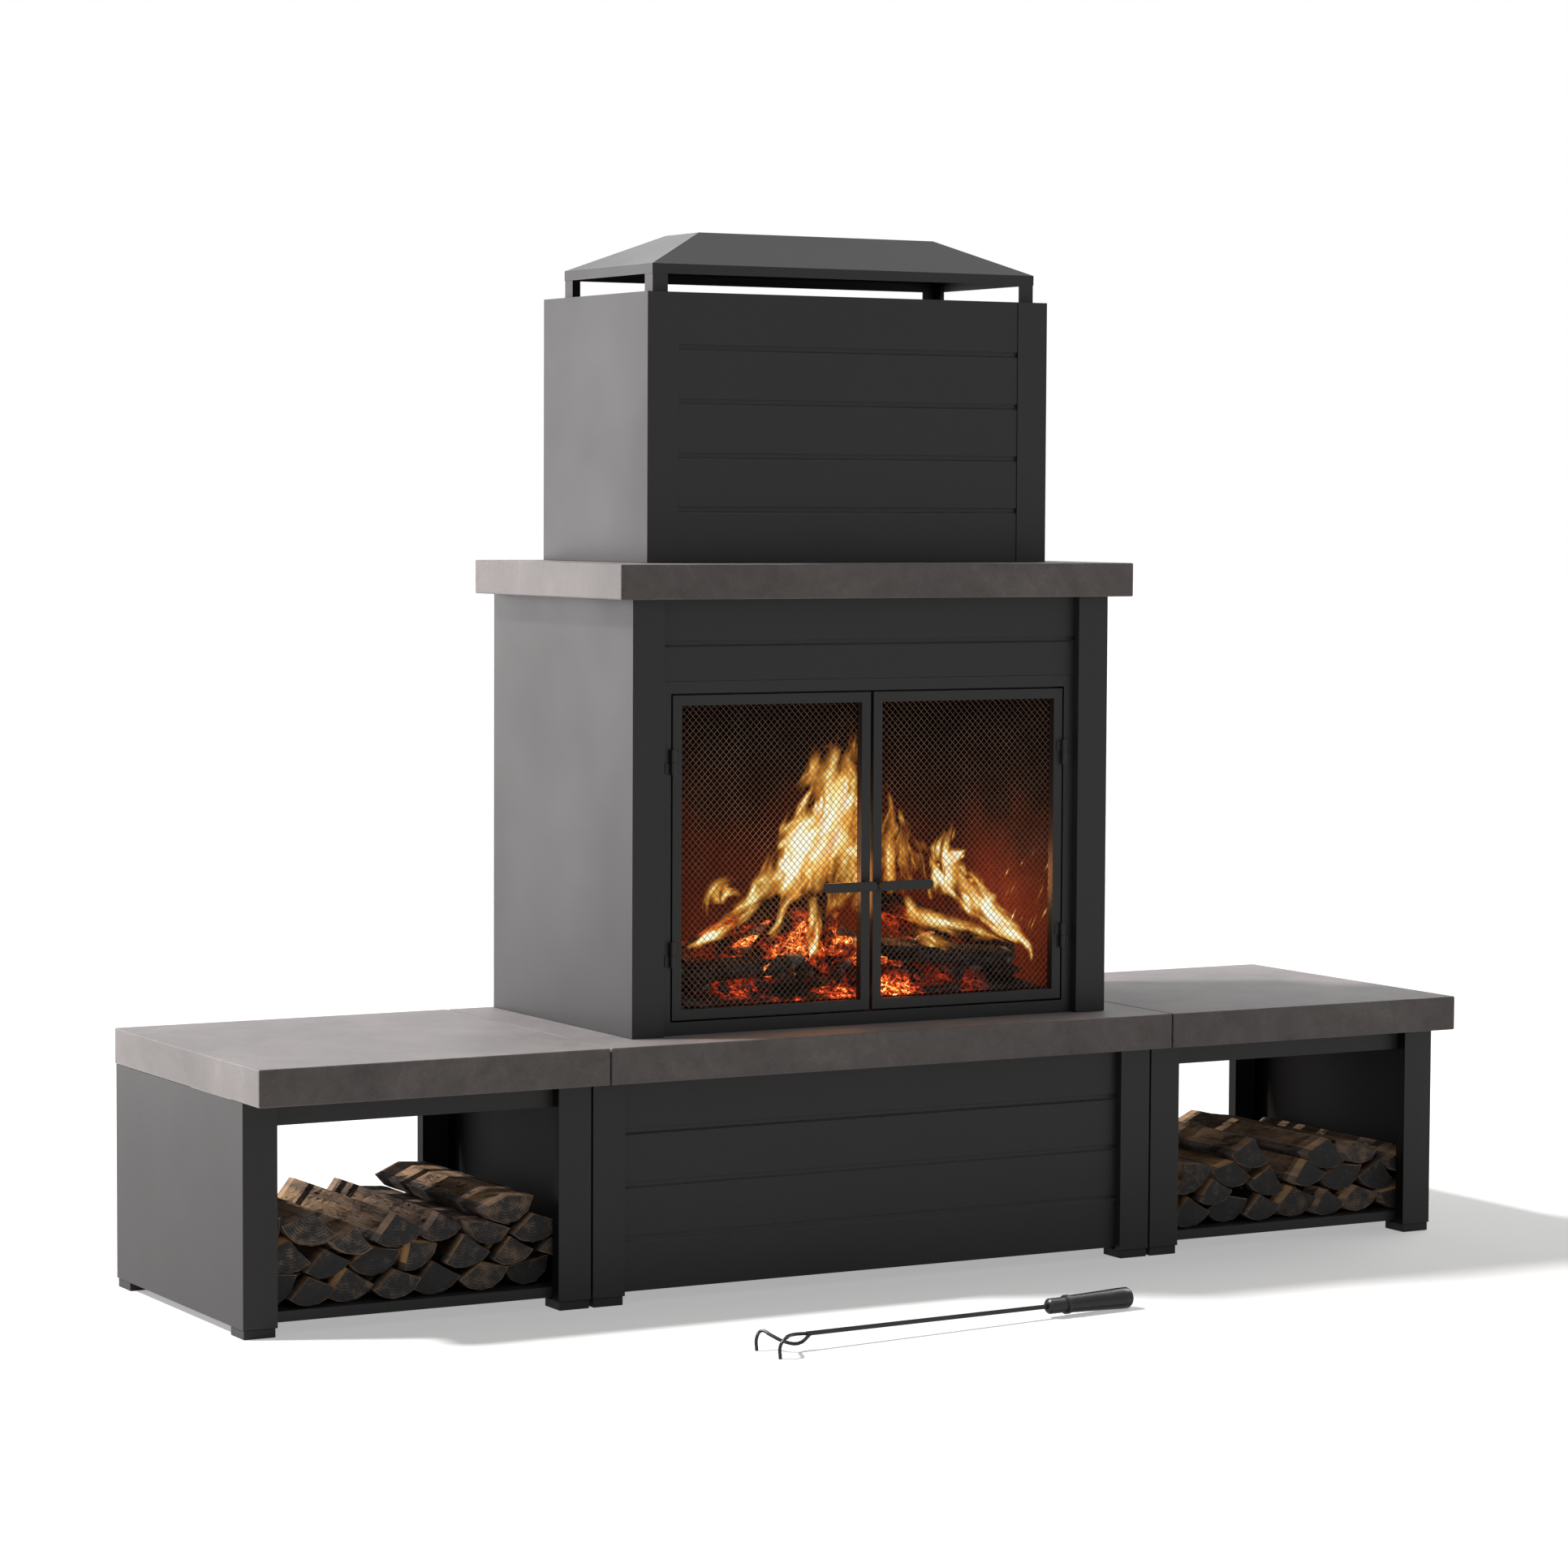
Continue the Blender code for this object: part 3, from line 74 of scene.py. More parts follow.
# %% Set the camera
photo_side = 1932
eye = Vector((-4.0010, -6.81655, 1.3844))
turned, tipped, rolled = radians(-29.200), radians(-3.599), radians(-0.280)
aim = (Matrix.Rotation(turned, 4, "Z") @ Matrix.Rotation(tipped, 4, "X") @ Matrix.Rotation(rolled, 4, "Y")
       @ Matrix.Rotation(pi / 2, 4, "X"))
lens = bpy.data.cameras.new("camera")
lens.sensor_width = 36
lens.lens = 102.4
bpy.context.scene.camera = put("camera", lens, Matrix.Translation(eye) @ aim)
print("camera stands", round(eye.length, 2), "m from the middle of the footprint")


# %% Find the place behind a point of the picture
def seen_at(across, down, depth):
    """The point in the plane y = depth that the camera sees at a pixel of the picture."""
    focal = lens.lens / lens.sensor_width * photo_side
    ray = aim.to_3x3() @ Vector((across - photo_side / 2, photo_side / 2 - down, -focal))
    return eye + ray * ((depth - eye.y) / ray.y)


flame_tip, flame_depth = (1049, 899), 0.16
print("flame tip at", [round(v, 3) for v in seen_at(*flame_tip, flame_depth)])

# %% [markdown]
# ## Finishes from nodes
#
# Every finish is a Principled shader fed by a few textures in Object coordinates, so the pattern has the same
# scale in metres on every piece. Small helpers keep the node trees short.

# %% Helpers for node trees
def new_finish(name, colour, roughness, metallic=0.0, **even):
    """A Principled material. Values that are the same all over go straight on its sockets."""
    finish = bpy.data.materials.new(name)
    finish.use_nodes = True
    shader = finish.node_tree.nodes["Principled BSDF"]
    shader.inputs["Base Color"].default_value = (*colour, 1)
    shader.inputs["Roughness"].default_value = roughness
    shader.inputs["Metallic"].default_value = metallic
    for socket, value in even.items():
        shader.inputs[socket.replace("_", " ")].default_value = value
    return finish


def add(finish, kind, feeds=(), **settings):
    """Adds a node, sets its properties, and fills its inputs with values or other nodes' outputs."""
    made = finish.node_tree.nodes.new("ShaderNode" + kind)
    for name, value in settings.items():
        setattr(made, name, value)
    for socket, value in dict(feeds).items():
        if isinstance(value, bpy.types.NodeSocket):
            finish.node_tree.links.new(value, made.inputs[socket])
        else:
            made.inputs[socket].default_value = value
    return made


def feed(finish, socket, value):
    """Links a value to the finish's shader."""
    finish.node_tree.links.new(value, finish.node_tree.nodes["Principled BSDF"].inputs[socket])


def place_in(finish, stretch=(1, 1, 1), attribute=None):
    """Coordinates in metres on the object, or from an attribute, stretched along each axis."""
    if attribute:
        where = add(finish, "Attribute", attribute_name=attribute).outputs["Vector"]
    else:
        where = add(finish, "TexCoord").outputs["Object"]
    return add(finish, "Mapping", {"Vector": where, "Scale": stretch}).outputs["Vector"]


def span(finish, amount, low, high, start=0.0, stop=1.0):
    """Maps a value from start..stop to low..high."""
    feeds = {"Value": amount, "From Min": start, "From Max": stop, "To Min": low, "To Max": high}
    return add(finish, "MapRange", feeds).outputs["Result"]


def cloud(finish, where, scale, detail=3.0, rough=0.55, wander=0.0):
    """Cloudy noise from 0 to 1 with its spread widened, since raw noise keeps near a half."""
    feeds = {"Vector": where, "Scale": scale, "Detail": detail, "Roughness": rough, "Distortion": wander}
    return span(finish, add(finish, "TexNoise", feeds).outputs[0], 0.0, 1.0, 0.28, 0.72)


# %% Helpers that join values and colours
def joined(finish, how, first, second):
    """Two values put together by a sum, a product or another simple rule."""
    return add(finish, "Math", {0: first, 1: second}, operation=how).outputs[0]


def weighed(finish, *parts):
    """The sum of a few values, each times its share."""
    total = joined(finish, "MULTIPLY", *parts[0])
    for part in parts[1:]:
        total = joined(finish, "ADD", total, joined(finish, "MULTIPLY", *part))
    return total


def product(finish, first, *others):
    """Values multiplied one after another."""
    for other in others:
        first = joined(finish, "MULTIPLY", first, other)
    return first


def mixed(finish, amount, first, second):
    """A colour between two others."""
    return add(finish, "Mix", {0: amount, 6: first, 7: second}, data_type="RGBA").outputs[2]


def tint(finish, amount, *stops):
    """Colours a value from 0 to 1 by stops of (place, colour)."""
    ramp = add(finish, "ValToRGB", {"Fac": amount})
    elements = ramp.color_ramp.elements
    elements[0].position, elements[1].position = stops[0][0], stops[-1][0]
    for i, (at, colour) in enumerate(stops):
        stop = elements[i] if i in (0, len(stops) - 1) else elements.new(at)
        stop.color = (*colour, 1)
    return ramp.outputs["Color"]


def relief(finish, height, depth):
    """Turns a height from 0 to 1 into bumps of a depth in metres."""
    bump = add(finish, "Bump", {"Height": height, "Distance": depth, "Strength": 1.0})
    feed(finish, "Normal", bump.outputs["Normal"])


print("helpers ready")

# %% [markdown]
# ## Floor and light
#
# The picture has a white ground that still holds a soft grey shadow. The floor's own colour takes the shadow,
# and a glow that only camera, glossy and transmission rays see lifts it to white, so it lights nothing. The
# same rays see a white world, which gives the steel its pale sheen at a glancing angle. A sun from behind the
# left end lights the tops and left sides and leaves the fronts dark. A wide window on that side softens it,
# with two weaker strips at the right and high behind.

# %% Lay the floor and light the world
def seen_strength(owner, light, seen):
    """One strength for the light on the object, and another for what is seen or mirrored."""
    rays = add(owner, "LightPath").outputs
    most = rays["Is Camera Ray"]
    for kind in ("Is Glossy Ray", "Is Transmission Ray"):
        most = joined(owner, "MAXIMUM", most, rays[kind])
    return span(owner, most, light, seen)


white_floor = new_finish("white floor", (0.41, 0.405, 0.395), 1.0, Specular_IOR_Level=0.0,
                         Emission_Color=(1, 1, 1, 1))
feed(white_floor, "Emission Strength", seen_strength(white_floor, light=0.0, seen=0.40))
floor_mesh = bpy.data.meshes.new("floor")
bm = bmesh.new()
bmesh.ops.create_grid(bm, x_segments=1, y_segments=1, size=60)
bm.to_mesh(floor_mesh)
bm.free()
floor_mesh.materials.append(white_floor)
floor = put("floor", floor_mesh)

world = bpy.data.worlds.new("studio")
bpy.context.scene.world = world
world.use_nodes = True
backdrop = world.node_tree.nodes["Background"]
backdrop.inputs["Color"].default_value = (1, 1, 1, 1)
world.node_tree.links.new(seen_strength(world, light=0.175, seen=1.0), backdrop.inputs["Strength"])
print("floor and world ready")


# %% Hang the lamps
def hang(name, kind, power, colour, place, **settings):
    """Adds a lamp, with its size or spread among its settings."""
    lamp = bpy.data.lights.new(name, kind)
    lamp.energy, lamp.color = power, colour
    for setting, value in settings.items():
        setattr(lamp, setting, value)
    put(name, lamp, place)


def towards(direction):
    """The turn of a lamp that shines in a direction."""
    return Vector(direction).to_track_quat("-Z", "Y").to_matrix().to_4x4()


def softbox(name, place, target, width, height, power, colour=(1, 1, 1)):
    """A rectangular lamp that faces a target."""
    turned = Matrix.Translation(place) @ towards(Vector(target) - Vector(place))
    hang(name, "AREA", power, colour, turned, shape="RECTANGLE", size=width, size_y=height)


softbox("left window", (-3.6, 5.4, 1.7), (-0.4, 0.3, 0.9), 6.0, 3.4, 250, (1.0, 0.955, 0.965))
softbox("right strip", (3.4, 0.9, 3.0), (0.9, 0.3, 0.4), 2.2, 1.2, 60)
softbox("high rear strip", (1.3, 4.8, 4.1), (-0.3, 0.2, 1.85), 2.4, 1.4, 26)
hang("sun", "SUN", 7.0, (1.0, 0.97, 0.96), towards((0.84, -0.38, -1.15)), angle=radians(5))
bpy.context.scene.view_settings.view_transform = "Standard"

# %% [markdown]
# ## Powder-coated and painted steel
#
# The casing is charcoal powder coat: matt, with a very fine orange-peel skin, and tones that drift a little
# over a panel. The doors and their surround have a slightly glossier black paint that stands up to heat. One
# recipe makes all of these from two colours and a roughness. A duller, darker paint on the inner faces of the
# bench panels is painted shade, and a paler one on the slanted groove edges is a painted highlight.

# %% Make the paints
def coated(name, deep, pale, rough, peel=0.00003, mottle=3.0, shine=0.27):
    """A paint whose colour drifts between two tones, with a fine skin."""
    finish = new_finish(name, deep, rough, Specular_IOR_Level=shine)
    here = place_in(finish)
    drift = cloud(finish, here, mottle, 4.0)
    dust = cloud(finish, here, 170.0, 2.0)
    both = weighed(finish, (drift, 0.75), (dust, 0.25))
    feed(finish, "Base Color", tint(finish, both, (0.0, deep), (1.0, pale)))
    feed(finish, "Roughness", span(finish, drift, rough - 0.05, rough + 0.06))
    relief(finish, cloud(finish, here, 900.0, 2.0), peel)
    return finish


casing_paint = coated("charcoal powder coat", (0.0155, 0.015, 0.0155), (0.0225, 0.0215, 0.022), 0.46)
# painted shade: a darker, duller paint for the inner faces of the bench panels, which lie in shadow
painted_shade_paint = coated("powder coat with painted shade", (0.005, 0.0045, 0.0045), (0.0105, 0.0095, 0.009), 0.62, shine=0.05)
# painted highlight: a paler paint for the slanted groove edges, as if they caught the light
groove_highlight_paint = coated("groove paint with painted highlight", (0.050, 0.048, 0.050), (0.075, 0.072, 0.075), 0.40)
door_paint = coated("black door paint", (0.015, 0.015, 0.0152), (0.021, 0.021, 0.0213), 0.42)
poker_paint = coated("black poker steel", (0.012, 0.012, 0.013), (0.022, 0.022, 0.023), 0.38, mottle=30.0)
grate_iron = coated("grate iron", (0.014, 0.013, 0.012), (0.035, 0.028, 0.024), 0.75, 0.0003, 25.0)
foot_plastic = coated("foot plastic", (0.016, 0.016, 0.016), (0.024, 0.024, 0.024), 0.6, mottle=20.0)
grip_plastic = coated("black grip", (0.008, 0.008, 0.008), (0.014, 0.014, 0.014), 0.27, 0.00001, 25.0)
print("paints made, from", casing_paint.name, "to", grip_plastic.name)

# %% [markdown]
# ### Soot, zinc and wire
#
# Inside, the liner is bare steel under soot. It is red-brown low down, which is painted firelight from the
# embers, and sooty black above, and a slow noise makes that border uneven. The bolts are zinc plated, and the
# net's wire has the brown stains of heat.

# %% Make the bare steels
soot_with_painted_firelight = coated("sooted steel with painted firelight", (0.005, 0.004, 0.0035), (0.026, 0.018, 0.013), 0.9, 0.0002, 9.0, shine=0.1)
# painted firelight: the liner's colour fades from red-brown at its foot to sooty black higher up, by height
rise = add(soot_with_painted_firelight, "SeparateXYZ", {"Vector": place_in(soot_with_painted_firelight)}).outputs["Z"]
uneven = span(soot_with_painted_firelight, cloud(soot_with_painted_firelight, place_in(soot_with_painted_firelight), 7.0, 4.0), -0.14, 0.14)
painted_firelight = joined(soot_with_painted_firelight, "ADD", span(soot_with_painted_firelight, rise, 0.0, 1.0, 0.50, 0.98), uneven)
feed(soot_with_painted_firelight, "Base Color", tint(soot_with_painted_firelight, painted_firelight, (0.0, (0.145, 0.034, 0.012)), (0.35, (0.076, 0.017, 0.007)),
                              (0.7, (0.010, 0.005, 0.003)), (1.0, (0.002, 0.0016, 0.0015))))
zinc = new_finish("zinc plate", (0.45, 0.45, 0.44), 0.35, 0.9)
feed(zinc, "Roughness", span(zinc, cloud(zinc, place_in(zinc), 300.0), 0.25, 0.5))
wire = new_finish("heat-stained wire", (0.16, 0.12, 0.095), 0.5, 0.6)
burnt_in = cloud(wire, place_in(wire), 14.0)
feed(wire, "Base Color", tint(wire, burnt_in, (0.0, (0.10, 0.073, 0.056)), (1.0, (0.21, 0.153, 0.118))))
print("bare steels made:", soot_with_painted_firelight.name, zinc.name, wire.name)

# %% [markdown]
# ## Cast concrete
#
# The slabs are a fine grey-brown concrete. It shows broad clouds, smaller smudges, a few dark pinholes and a
# sandy grain. Three noises of falling size do that, and the pinholes come from the low end of a small Voronoi
# pattern.

# %% Make the concrete
concrete = new_finish("cast concrete", (0.11, 0.10, 0.098), 0.55, Specular_IOR_Level=0.35,
                      Sheen_Weight=0.35, Sheen_Roughness=0.4)
here = place_in(concrete)
clouds = cloud(concrete, here, 4.5, 6.0, 0.62, 0.8)
smudges = cloud(concrete, here, 30.0, 6.0, 0.72, 0.6)
grain = cloud(concrete, here, 420.0, 2.0)
tone = weighed(concrete, (clouds, 0.5), (smudges, 0.35), (grain, 0.15))
stone_colour = tint(concrete, tone, (0.14, (0.030, 0.026, 0.025)), (0.38, (0.070, 0.061, 0.059)),
                    (0.60, (0.101, 0.089, 0.086)), (0.90, (0.160, 0.143, 0.139)))
holes = add(concrete, "TexVoronoi", {"Vector": here, "Scale": 85.0}).outputs["Distance"]
pinhole = span(concrete, holes, 1.0, 0.0, 0.05, 0.11)
shown_pits = product(concrete, pinhole, span(concrete, smudges, 0.0, 0.7, 0.45, 0.9))
pit_colour = (0.05, 0.045, 0.042, 1)
feed(concrete, "Base Color", mixed(concrete, shown_pits, stone_colour, pit_colour))
feed(concrete, "Roughness", span(concrete, smudges, 0.44, 0.62))
relief(concrete, joined(concrete, "SUBTRACT", product(concrete, grain, 0.5), shown_pits), 0.0004)
print("concrete made")


# %% [markdown]
# ## Sheet metal with soft folds
#
# The solids have edges of no radius, which catch no light. A folded sheet has a bend radius, and that thin
# bright line is most of what tells the eye that it is steel. Each steel node is copied, its loose triangles
# are merged back into flat faces, and its edges get a narrow bevel. The top of a panel stays sharp and rises
# a hair into its slab, because a slit there shows as a line of light. The slabs have soft edges already, and
# the poker's rod is round, with its fork and the eye behind it, so these solids stay and only get a finish.

# %% Show a piece in the place of a node
body_of_node = {node: body for body, held in frame["record"]["behaviour"]["bodies"].items() for node in held}
slot_of_node = {part["node"]: part["material_slot"] for part in frame["record"]["subparts"]}


def show(name, bm, finish, body, *stands_for, smooth=35, slot=None):
    """Turns a bmesh into a piece that rides on a body and takes the place of any nodes that it stands for."""
    mesh = bpy.data.meshes.new(name)
    bm.to_mesh(mesh)
    bm.free()
    if smooth:
        mesh.shade_smooth()
        mesh.set_sharp_from_angle(angle=radians(smooth))
    mesh.materials.append(finish)
    piece = put(name, mesh)
    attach(piece, body)
    if stands_for:
        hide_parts(*stands_for)
    return piece


print("nodes to dress:", len(slot_of_node))

# %% Soften the edges of a node
bend_radius, foot_radius = 0.0005, 0.0012
merge_distance = 0.00002
panel_rise = 0.0004


def raised_top(bm):
    """Lifts the top of a panel into the slab over it, and gives a height that only the top lies above."""
    top = max(v.co.z for v in bm.verts) - merge_distance
    for v in bm.verts:
        if v.co.z > top:
            v.co.z += panel_rise
    return top


def softened(node, finish, radius):
    """A copy of a node with whole flat faces and slightly rounded edges, but for a panel's top."""
    bm = bmesh.new()
    bm.from_mesh(frame["nodes"][node].data)
    bmesh.ops.remove_doubles(bm, verts=bm.verts, dist=merge_distance)
    bmesh.ops.dissolve_limit(bm, angle_limit=radians(0.5), verts=bm.verts, edges=bm.edges)
    top = raised_top(bm) if node.endswith("_panel") else None
    sharp = [edge for edge in bm.edges if edge.is_manifold and edge.calc_face_angle(0) > radians(30)
             and not (top and all(v.co.z > top for v in edge.verts))]
    bmesh.ops.bevel(bm, geom=sharp, offset=radius, segments=2, profile=0.5, affect="EDGES", material=-1,
                    clamp_overlap=True)
    piece = show(node + "_finished", bm, finish, body_of_node[node], node)
    level = piece.modifiers.new("keep panels flat", "WEIGHTED_NORMAL")
    level.keep_sharp = True
    return piece


# %% [markdown]
# ### A second paint on some faces
#
# A paint is chosen face by face, by the way the face looks: the inner side of a bench panel looks towards the
# middle of its shelf and gets painted shade, and the edge of a board groove looks out and up and gets a
# painted highlight.

# %% Choose faces for the second paint
def paint_shade_inside(node, piece):
    """Gives the darker paint of painted shade to the faces of a bench panel that look into the bench."""
    shelf_low, shelf_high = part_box(node.split("_bench_")[0] + "_bench_shelf")
    piece.data.materials.append(painted_shade_paint)
    for face in piece.data.polygons:
        inward = (shelf_low[0] + shelf_high[0]) / 2 - face.center.x
        if abs(face.normal.x) > 0.9 and inward * face.normal.x > 0:
            face.material_index = 1


def paint_groove_highlights(piece):
    """Gives the slanted faces of the board grooves a paler paint, a painted highlight of the light they
    catch.
    """
    piece.data.materials.append(groove_highlight_paint)
    for face in piece.data.polygons:
        if abs(face.normal.y) > 0.3 and face.normal.z > 0.3:
            face.material_index = 1


# %% Finish the steel and the slabs
finish_of_slot = {"casing_steel": casing_paint, "door_steel": door_paint, "sooty_steel": soot_with_painted_firelight,
                  "feet": foot_plastic, "bolts": zinc, "cast_stone": concrete, "fire_grate": grate_iron,
                  "poker_steel": poker_paint, "poker_grip": grip_plastic}
kept_solids = ("left_bench_slab", "hearth_slab", "right_bench_slab", "mantel_slab", "poker_rod")
made_here = ("door_mesh", "firewood", "burning_logs", "charcoal_bed")
for node, slot in slot_of_node.items():
    if slot in made_here or node in kept_solids:
        continue
    piece = softened(node, finish_of_slot[slot], foot_radius if slot == "feet" else bend_radius)
    # the inner faces of the bench panels get the paint of painted shade
    if node.endswith(("bench_outer_panel", "bench_inner_panel")):
        paint_shade_inside(node, piece)
    # the slanted groove edges get the paint of a painted highlight
    if node.endswith(("front_panel", "back_panel", "header_panel")):
        paint_groove_highlights(piece)
for node in kept_solids:
    frame["nodes"][node].data.materials.clear()
    frame["nodes"][node].data.materials.append(finish_of_slot[slot_of_node[node]])
print("solids kept as they are:", ", ".join(kept_solids))

# %% [markdown]
# ## The net in the doors
#
# Each door holds a net of thin wires that cross in tall diamonds, about twelve millimetres wide. A grid with
# one cell for each diamond is poked, so each cell gets a centre, and its own straight lines are dissolved, so
# only the slanting ones stay. The wireframe operator then turns those lines into wire.

# %% Stretch the nets
diamond_width, diamond_height, wire_thickness = 0.0120, 0.0127, 0.0010
for side in ("left", "right"):
    low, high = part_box(f"{side}_door_mesh")
    width, height = high[0] - low[0] - wire_thickness, high[2] - low[2] - wire_thickness
    columns, rows = round(width / diamond_width), round(height / diamond_height)
    middle = Vector([(a + b) / 2 for a, b in zip(low, high)])
    bm = bmesh.new()
    place = Matrix.Translation(middle) @ Matrix.Rotation(pi / 2, 4, "X")
    bmesh.ops.create_grid(bm, x_segments=columns, y_segments=rows, size=0.5,
                          matrix=place @ Matrix.Diagonal((width, height, 1, 1)))
    lines = [edge for edge in bm.edges if not edge.is_boundary]
    bmesh.ops.poke(bm, faces=bm.faces[:])
    bmesh.ops.dissolve_edges(bm, edges=lines, use_verts=False)
    bmesh.ops.wireframe(bm, faces=bm.faces[:], thickness=wire_thickness, offset=0.0, use_replace=True,
                        use_boundary=True, use_even_offset=True)
    print(side, "net:", columns, "by", rows, "diamonds,", len(bm.faces), "faces")
    show(f"{side}_door_net", bm, wire, f"{side}_door", f"{side}_door_mesh", smooth=None)

# %% [markdown]
# ## Split logs
#
# A split log is a wedge of a round: bark or weathered wood on the arc, two fibrous split faces that meet near
# the heart, and sawn ends gone grey. Its outline is extruded in short steps, so that noise can draw the sides
# in along the grain. The mesh also tells the material where a point lies from the heart of its round, how
# pale or ashy the log is, and of which kind a face is.

# %% Outline of a split log
half_round = 175


def log_section(radius, split, turn, steps=5):
    """An arc of bark, closed through the heart of the round unless it is a half."""
    angles = [radians(turn + 180 + split * (i / steps - 0.5)) for i in range(steps + 1)]
    points = [Vector((radius * cos(a), radius * sin(a))) for a in angles]
    if split < half_round:
        points.append(Vector((0, 0)))
    return points


def new_wood():
    """An empty bmesh with the layers that the wood finishes read."""
    bm = bmesh.new()
    bm.verts.layers.float_vector.new("heart")
    bm.faces.layers.float_vector.new("wood")
    return bm


# %% Extrude the outline
rim_width = 0.0014
log_steps = 18


def extruded_log(outline, start, length):
    """A log with square edges, in short steps along Y, with a narrow rim around each sawn end."""
    bm = new_wood()
    bm.faces.new([bm.verts.new((point.x, start, point.y)) for point in outline])
    bmesh.ops.subdivide_edges(bm, edges=bm.edges[:], cuts=3)
    face = bm.faces[:]
    for _ in range(log_steps):
        grown = bmesh.ops.extrude_face_region(bm, geom=face)["geom"]
        bmesh.ops.translate(bm, verts=[v for v in grown if isinstance(v, bmesh.types.BMVert)],
                            vec=(0, length / log_steps, 0))
        face = [f for f in grown if isinstance(f, bmesh.types.BMFace)]
    bmesh.ops.recalc_face_normals(bm, faces=bm.faces)
    sawn_ends = [f for f in bm.faces if abs(f.normal.y) > 0.9]
    bmesh.ops.inset_individual(bm, faces=sawn_ends, thickness=rim_width, depth=0.0, use_even_offset=True)
    bm.normal_update()
    return bm


# %% Wear a log and lay it in its stack
saw_depth = 0.0012


def add_log(stack_bm, outline, heart, radius, start, length, tone, char, seed, wear=0.0016, place=None):
    """Adds a log with worn, fibrous sides between two sawn ends."""
    bm = extruded_log(outline, start, length)
    origin, kind = bm.verts.layers.float_vector["heart"], bm.faces.layers.float_vector["wood"]
    middle = Vector((sum(p.x for p in outline) / len(outline), 0, sum(p.y for p in outline) / len(outline)))
    moves = []
    for v in bm.verts:
        x, y, z = v.co
        v[origin] = (x - heart.x, y + seed * 3.1, z - heart.y)
        fibre = 0.5 + 0.5 * noise.noise(Vector((x * 85 + seed * 9, y * 6, z * 85)))
        dent = 0.5 + 0.5 * noise.noise(Vector((x * 18, y * 4 + seed, z * 18)))
        inward = (middle - Vector((x, 0, z))).normalized()
        at_end = min(y - start, start + length - y) < 0.001 * length
        rim = at_end and any(abs(f.normal.y) < 0.5 for f in v.link_faces)
        saw = saw_depth * noise.noise(Vector((x * 30 + seed, 5, z * 30))) if at_end else 0.0
        worn_away = wear * (fibre + dent) * 0.6 + (rim_width if rim else 0.0)
        moves.append(inward * worn_away + Vector((0, saw, 0)))
    for f in bm.faces:
        centre = f.calc_center_median()
        reach = Vector((centre.x - heart.x, centre.z - heart.y)).length
        side = 1.0 if abs(f.normal.y) > 0.8 else 0.5 if reach > radius * 0.86 else 0.0
        rim = side == 1.0 and any(abs(near.normal.y) < 0.5 for edge in f.edges for near in edge.link_faces)
        worn = 0.35 + 0.8 * noise.noise(centre * 55 + Vector((seed, 0, 0)))
        f[kind] = (worn, 0.0, char) if rim else (tone, side, char)
    for v, move in zip(bm.verts, moves):
        v.co += move
    if place:
        bmesh.ops.transform(bm, matrix=place, verts=bm.verts)
    finished = bpy.data.meshes.new("log")
    bm.to_mesh(finished)
    bm.free()
    stack_bm.from_mesh(finished)
    bpy.data.meshes.remove(finished)


# %% [markdown]
# ### The firewood finish
#
# Split faces are tan to orange with long fibres, the outer arc is grey-brown, and the sawn ends are almost
# charcoal with faint rings round the heart. The rings are a wave of circles round the log's own axis.

# %% Make the firewood finish
firewood = new_finish("split firewood", (0.2, 0.13, 0.08), 0.85)
fibres = cloud(firewood, place_in(firewood, (70, 2.2, 70), "heart"), 1.0, 5.0, 0.6)
patches = cloud(firewood, place_in(firewood, (16, 3.0, 16), "heart"), 1.0, 3.0)
written = add(firewood, "Attribute", attribute_name="wood").outputs["Vector"]
log_tone, face_kind, log_char = add(firewood, "SeparateXYZ", {"Vector": written}).outputs
streak = weighed(firewood, (fibres, 0.45), (log_tone, 0.55))
split_colour = tint(firewood, streak, (0.05, (0.095, 0.065, 0.047)), (0.28, (0.34, 0.222, 0.146)),
                    (0.52, (0.66, 0.42, 0.245)), (0.82, (0.90, 0.52, 0.22)))
skin = weighed(firewood, (fibres, 0.5), (patches, 0.5))
skin_colour = tint(firewood, skin, (0.1, (0.060, 0.045, 0.038)), (0.5, (0.24, 0.180, 0.148)),
                   (0.92, (0.54, 0.41, 0.33)))
around_heart = {"Vector": place_in(firewood, (1, 1, 1), "heart"), "Scale": 60.0, "Distortion": 2.5,
                "Detail": 3.0, "Detail Scale": 1.5}
rings = add(firewood, "TexWave", around_heart, wave_type="RINGS", rings_direction="Y").outputs["Fac"]
sawn = cloud(firewood, place_in(firewood, (45, 45, 45), "heart"), 1.0, 5.0, 0.65)
end_tone = weighed(firewood, (sawn, 0.62), (rings, 0.18), (log_char, 0.35))
end_colour = tint(firewood, end_tone, (0.20, (0.007, 0.007, 0.0075)), (0.58, (0.022, 0.021, 0.021)),
                  (0.72, (0.085, 0.070, 0.058)), (0.95, (0.24, 0.160, 0.105)))
is_skin = span(firewood, face_kind, 0.0, 1.0, 0.2, 0.3)
is_end = span(firewood, face_kind, 0.0, 1.0, 0.7, 0.8)
sides = mixed(firewood, is_skin, split_colour, skin_colour)
feed(firewood, "Base Color", mixed(firewood, is_end, sides, end_colour))
relief(firewood, joined(firewood, "ADD", fibres, product(firewood, rings, is_end, 0.3)), 0.0007)
print("firewood finish made")

# %% [markdown]
# ### Laying the stacks
#
# The stacks are laid by rule, as a person would: each log goes where it lies lowest on those below. The rule
# and its sizes are those of the solids, so these logs lie where the solid stack is. Each row gives a log's
# radius, its split angle and how far back it is pushed.

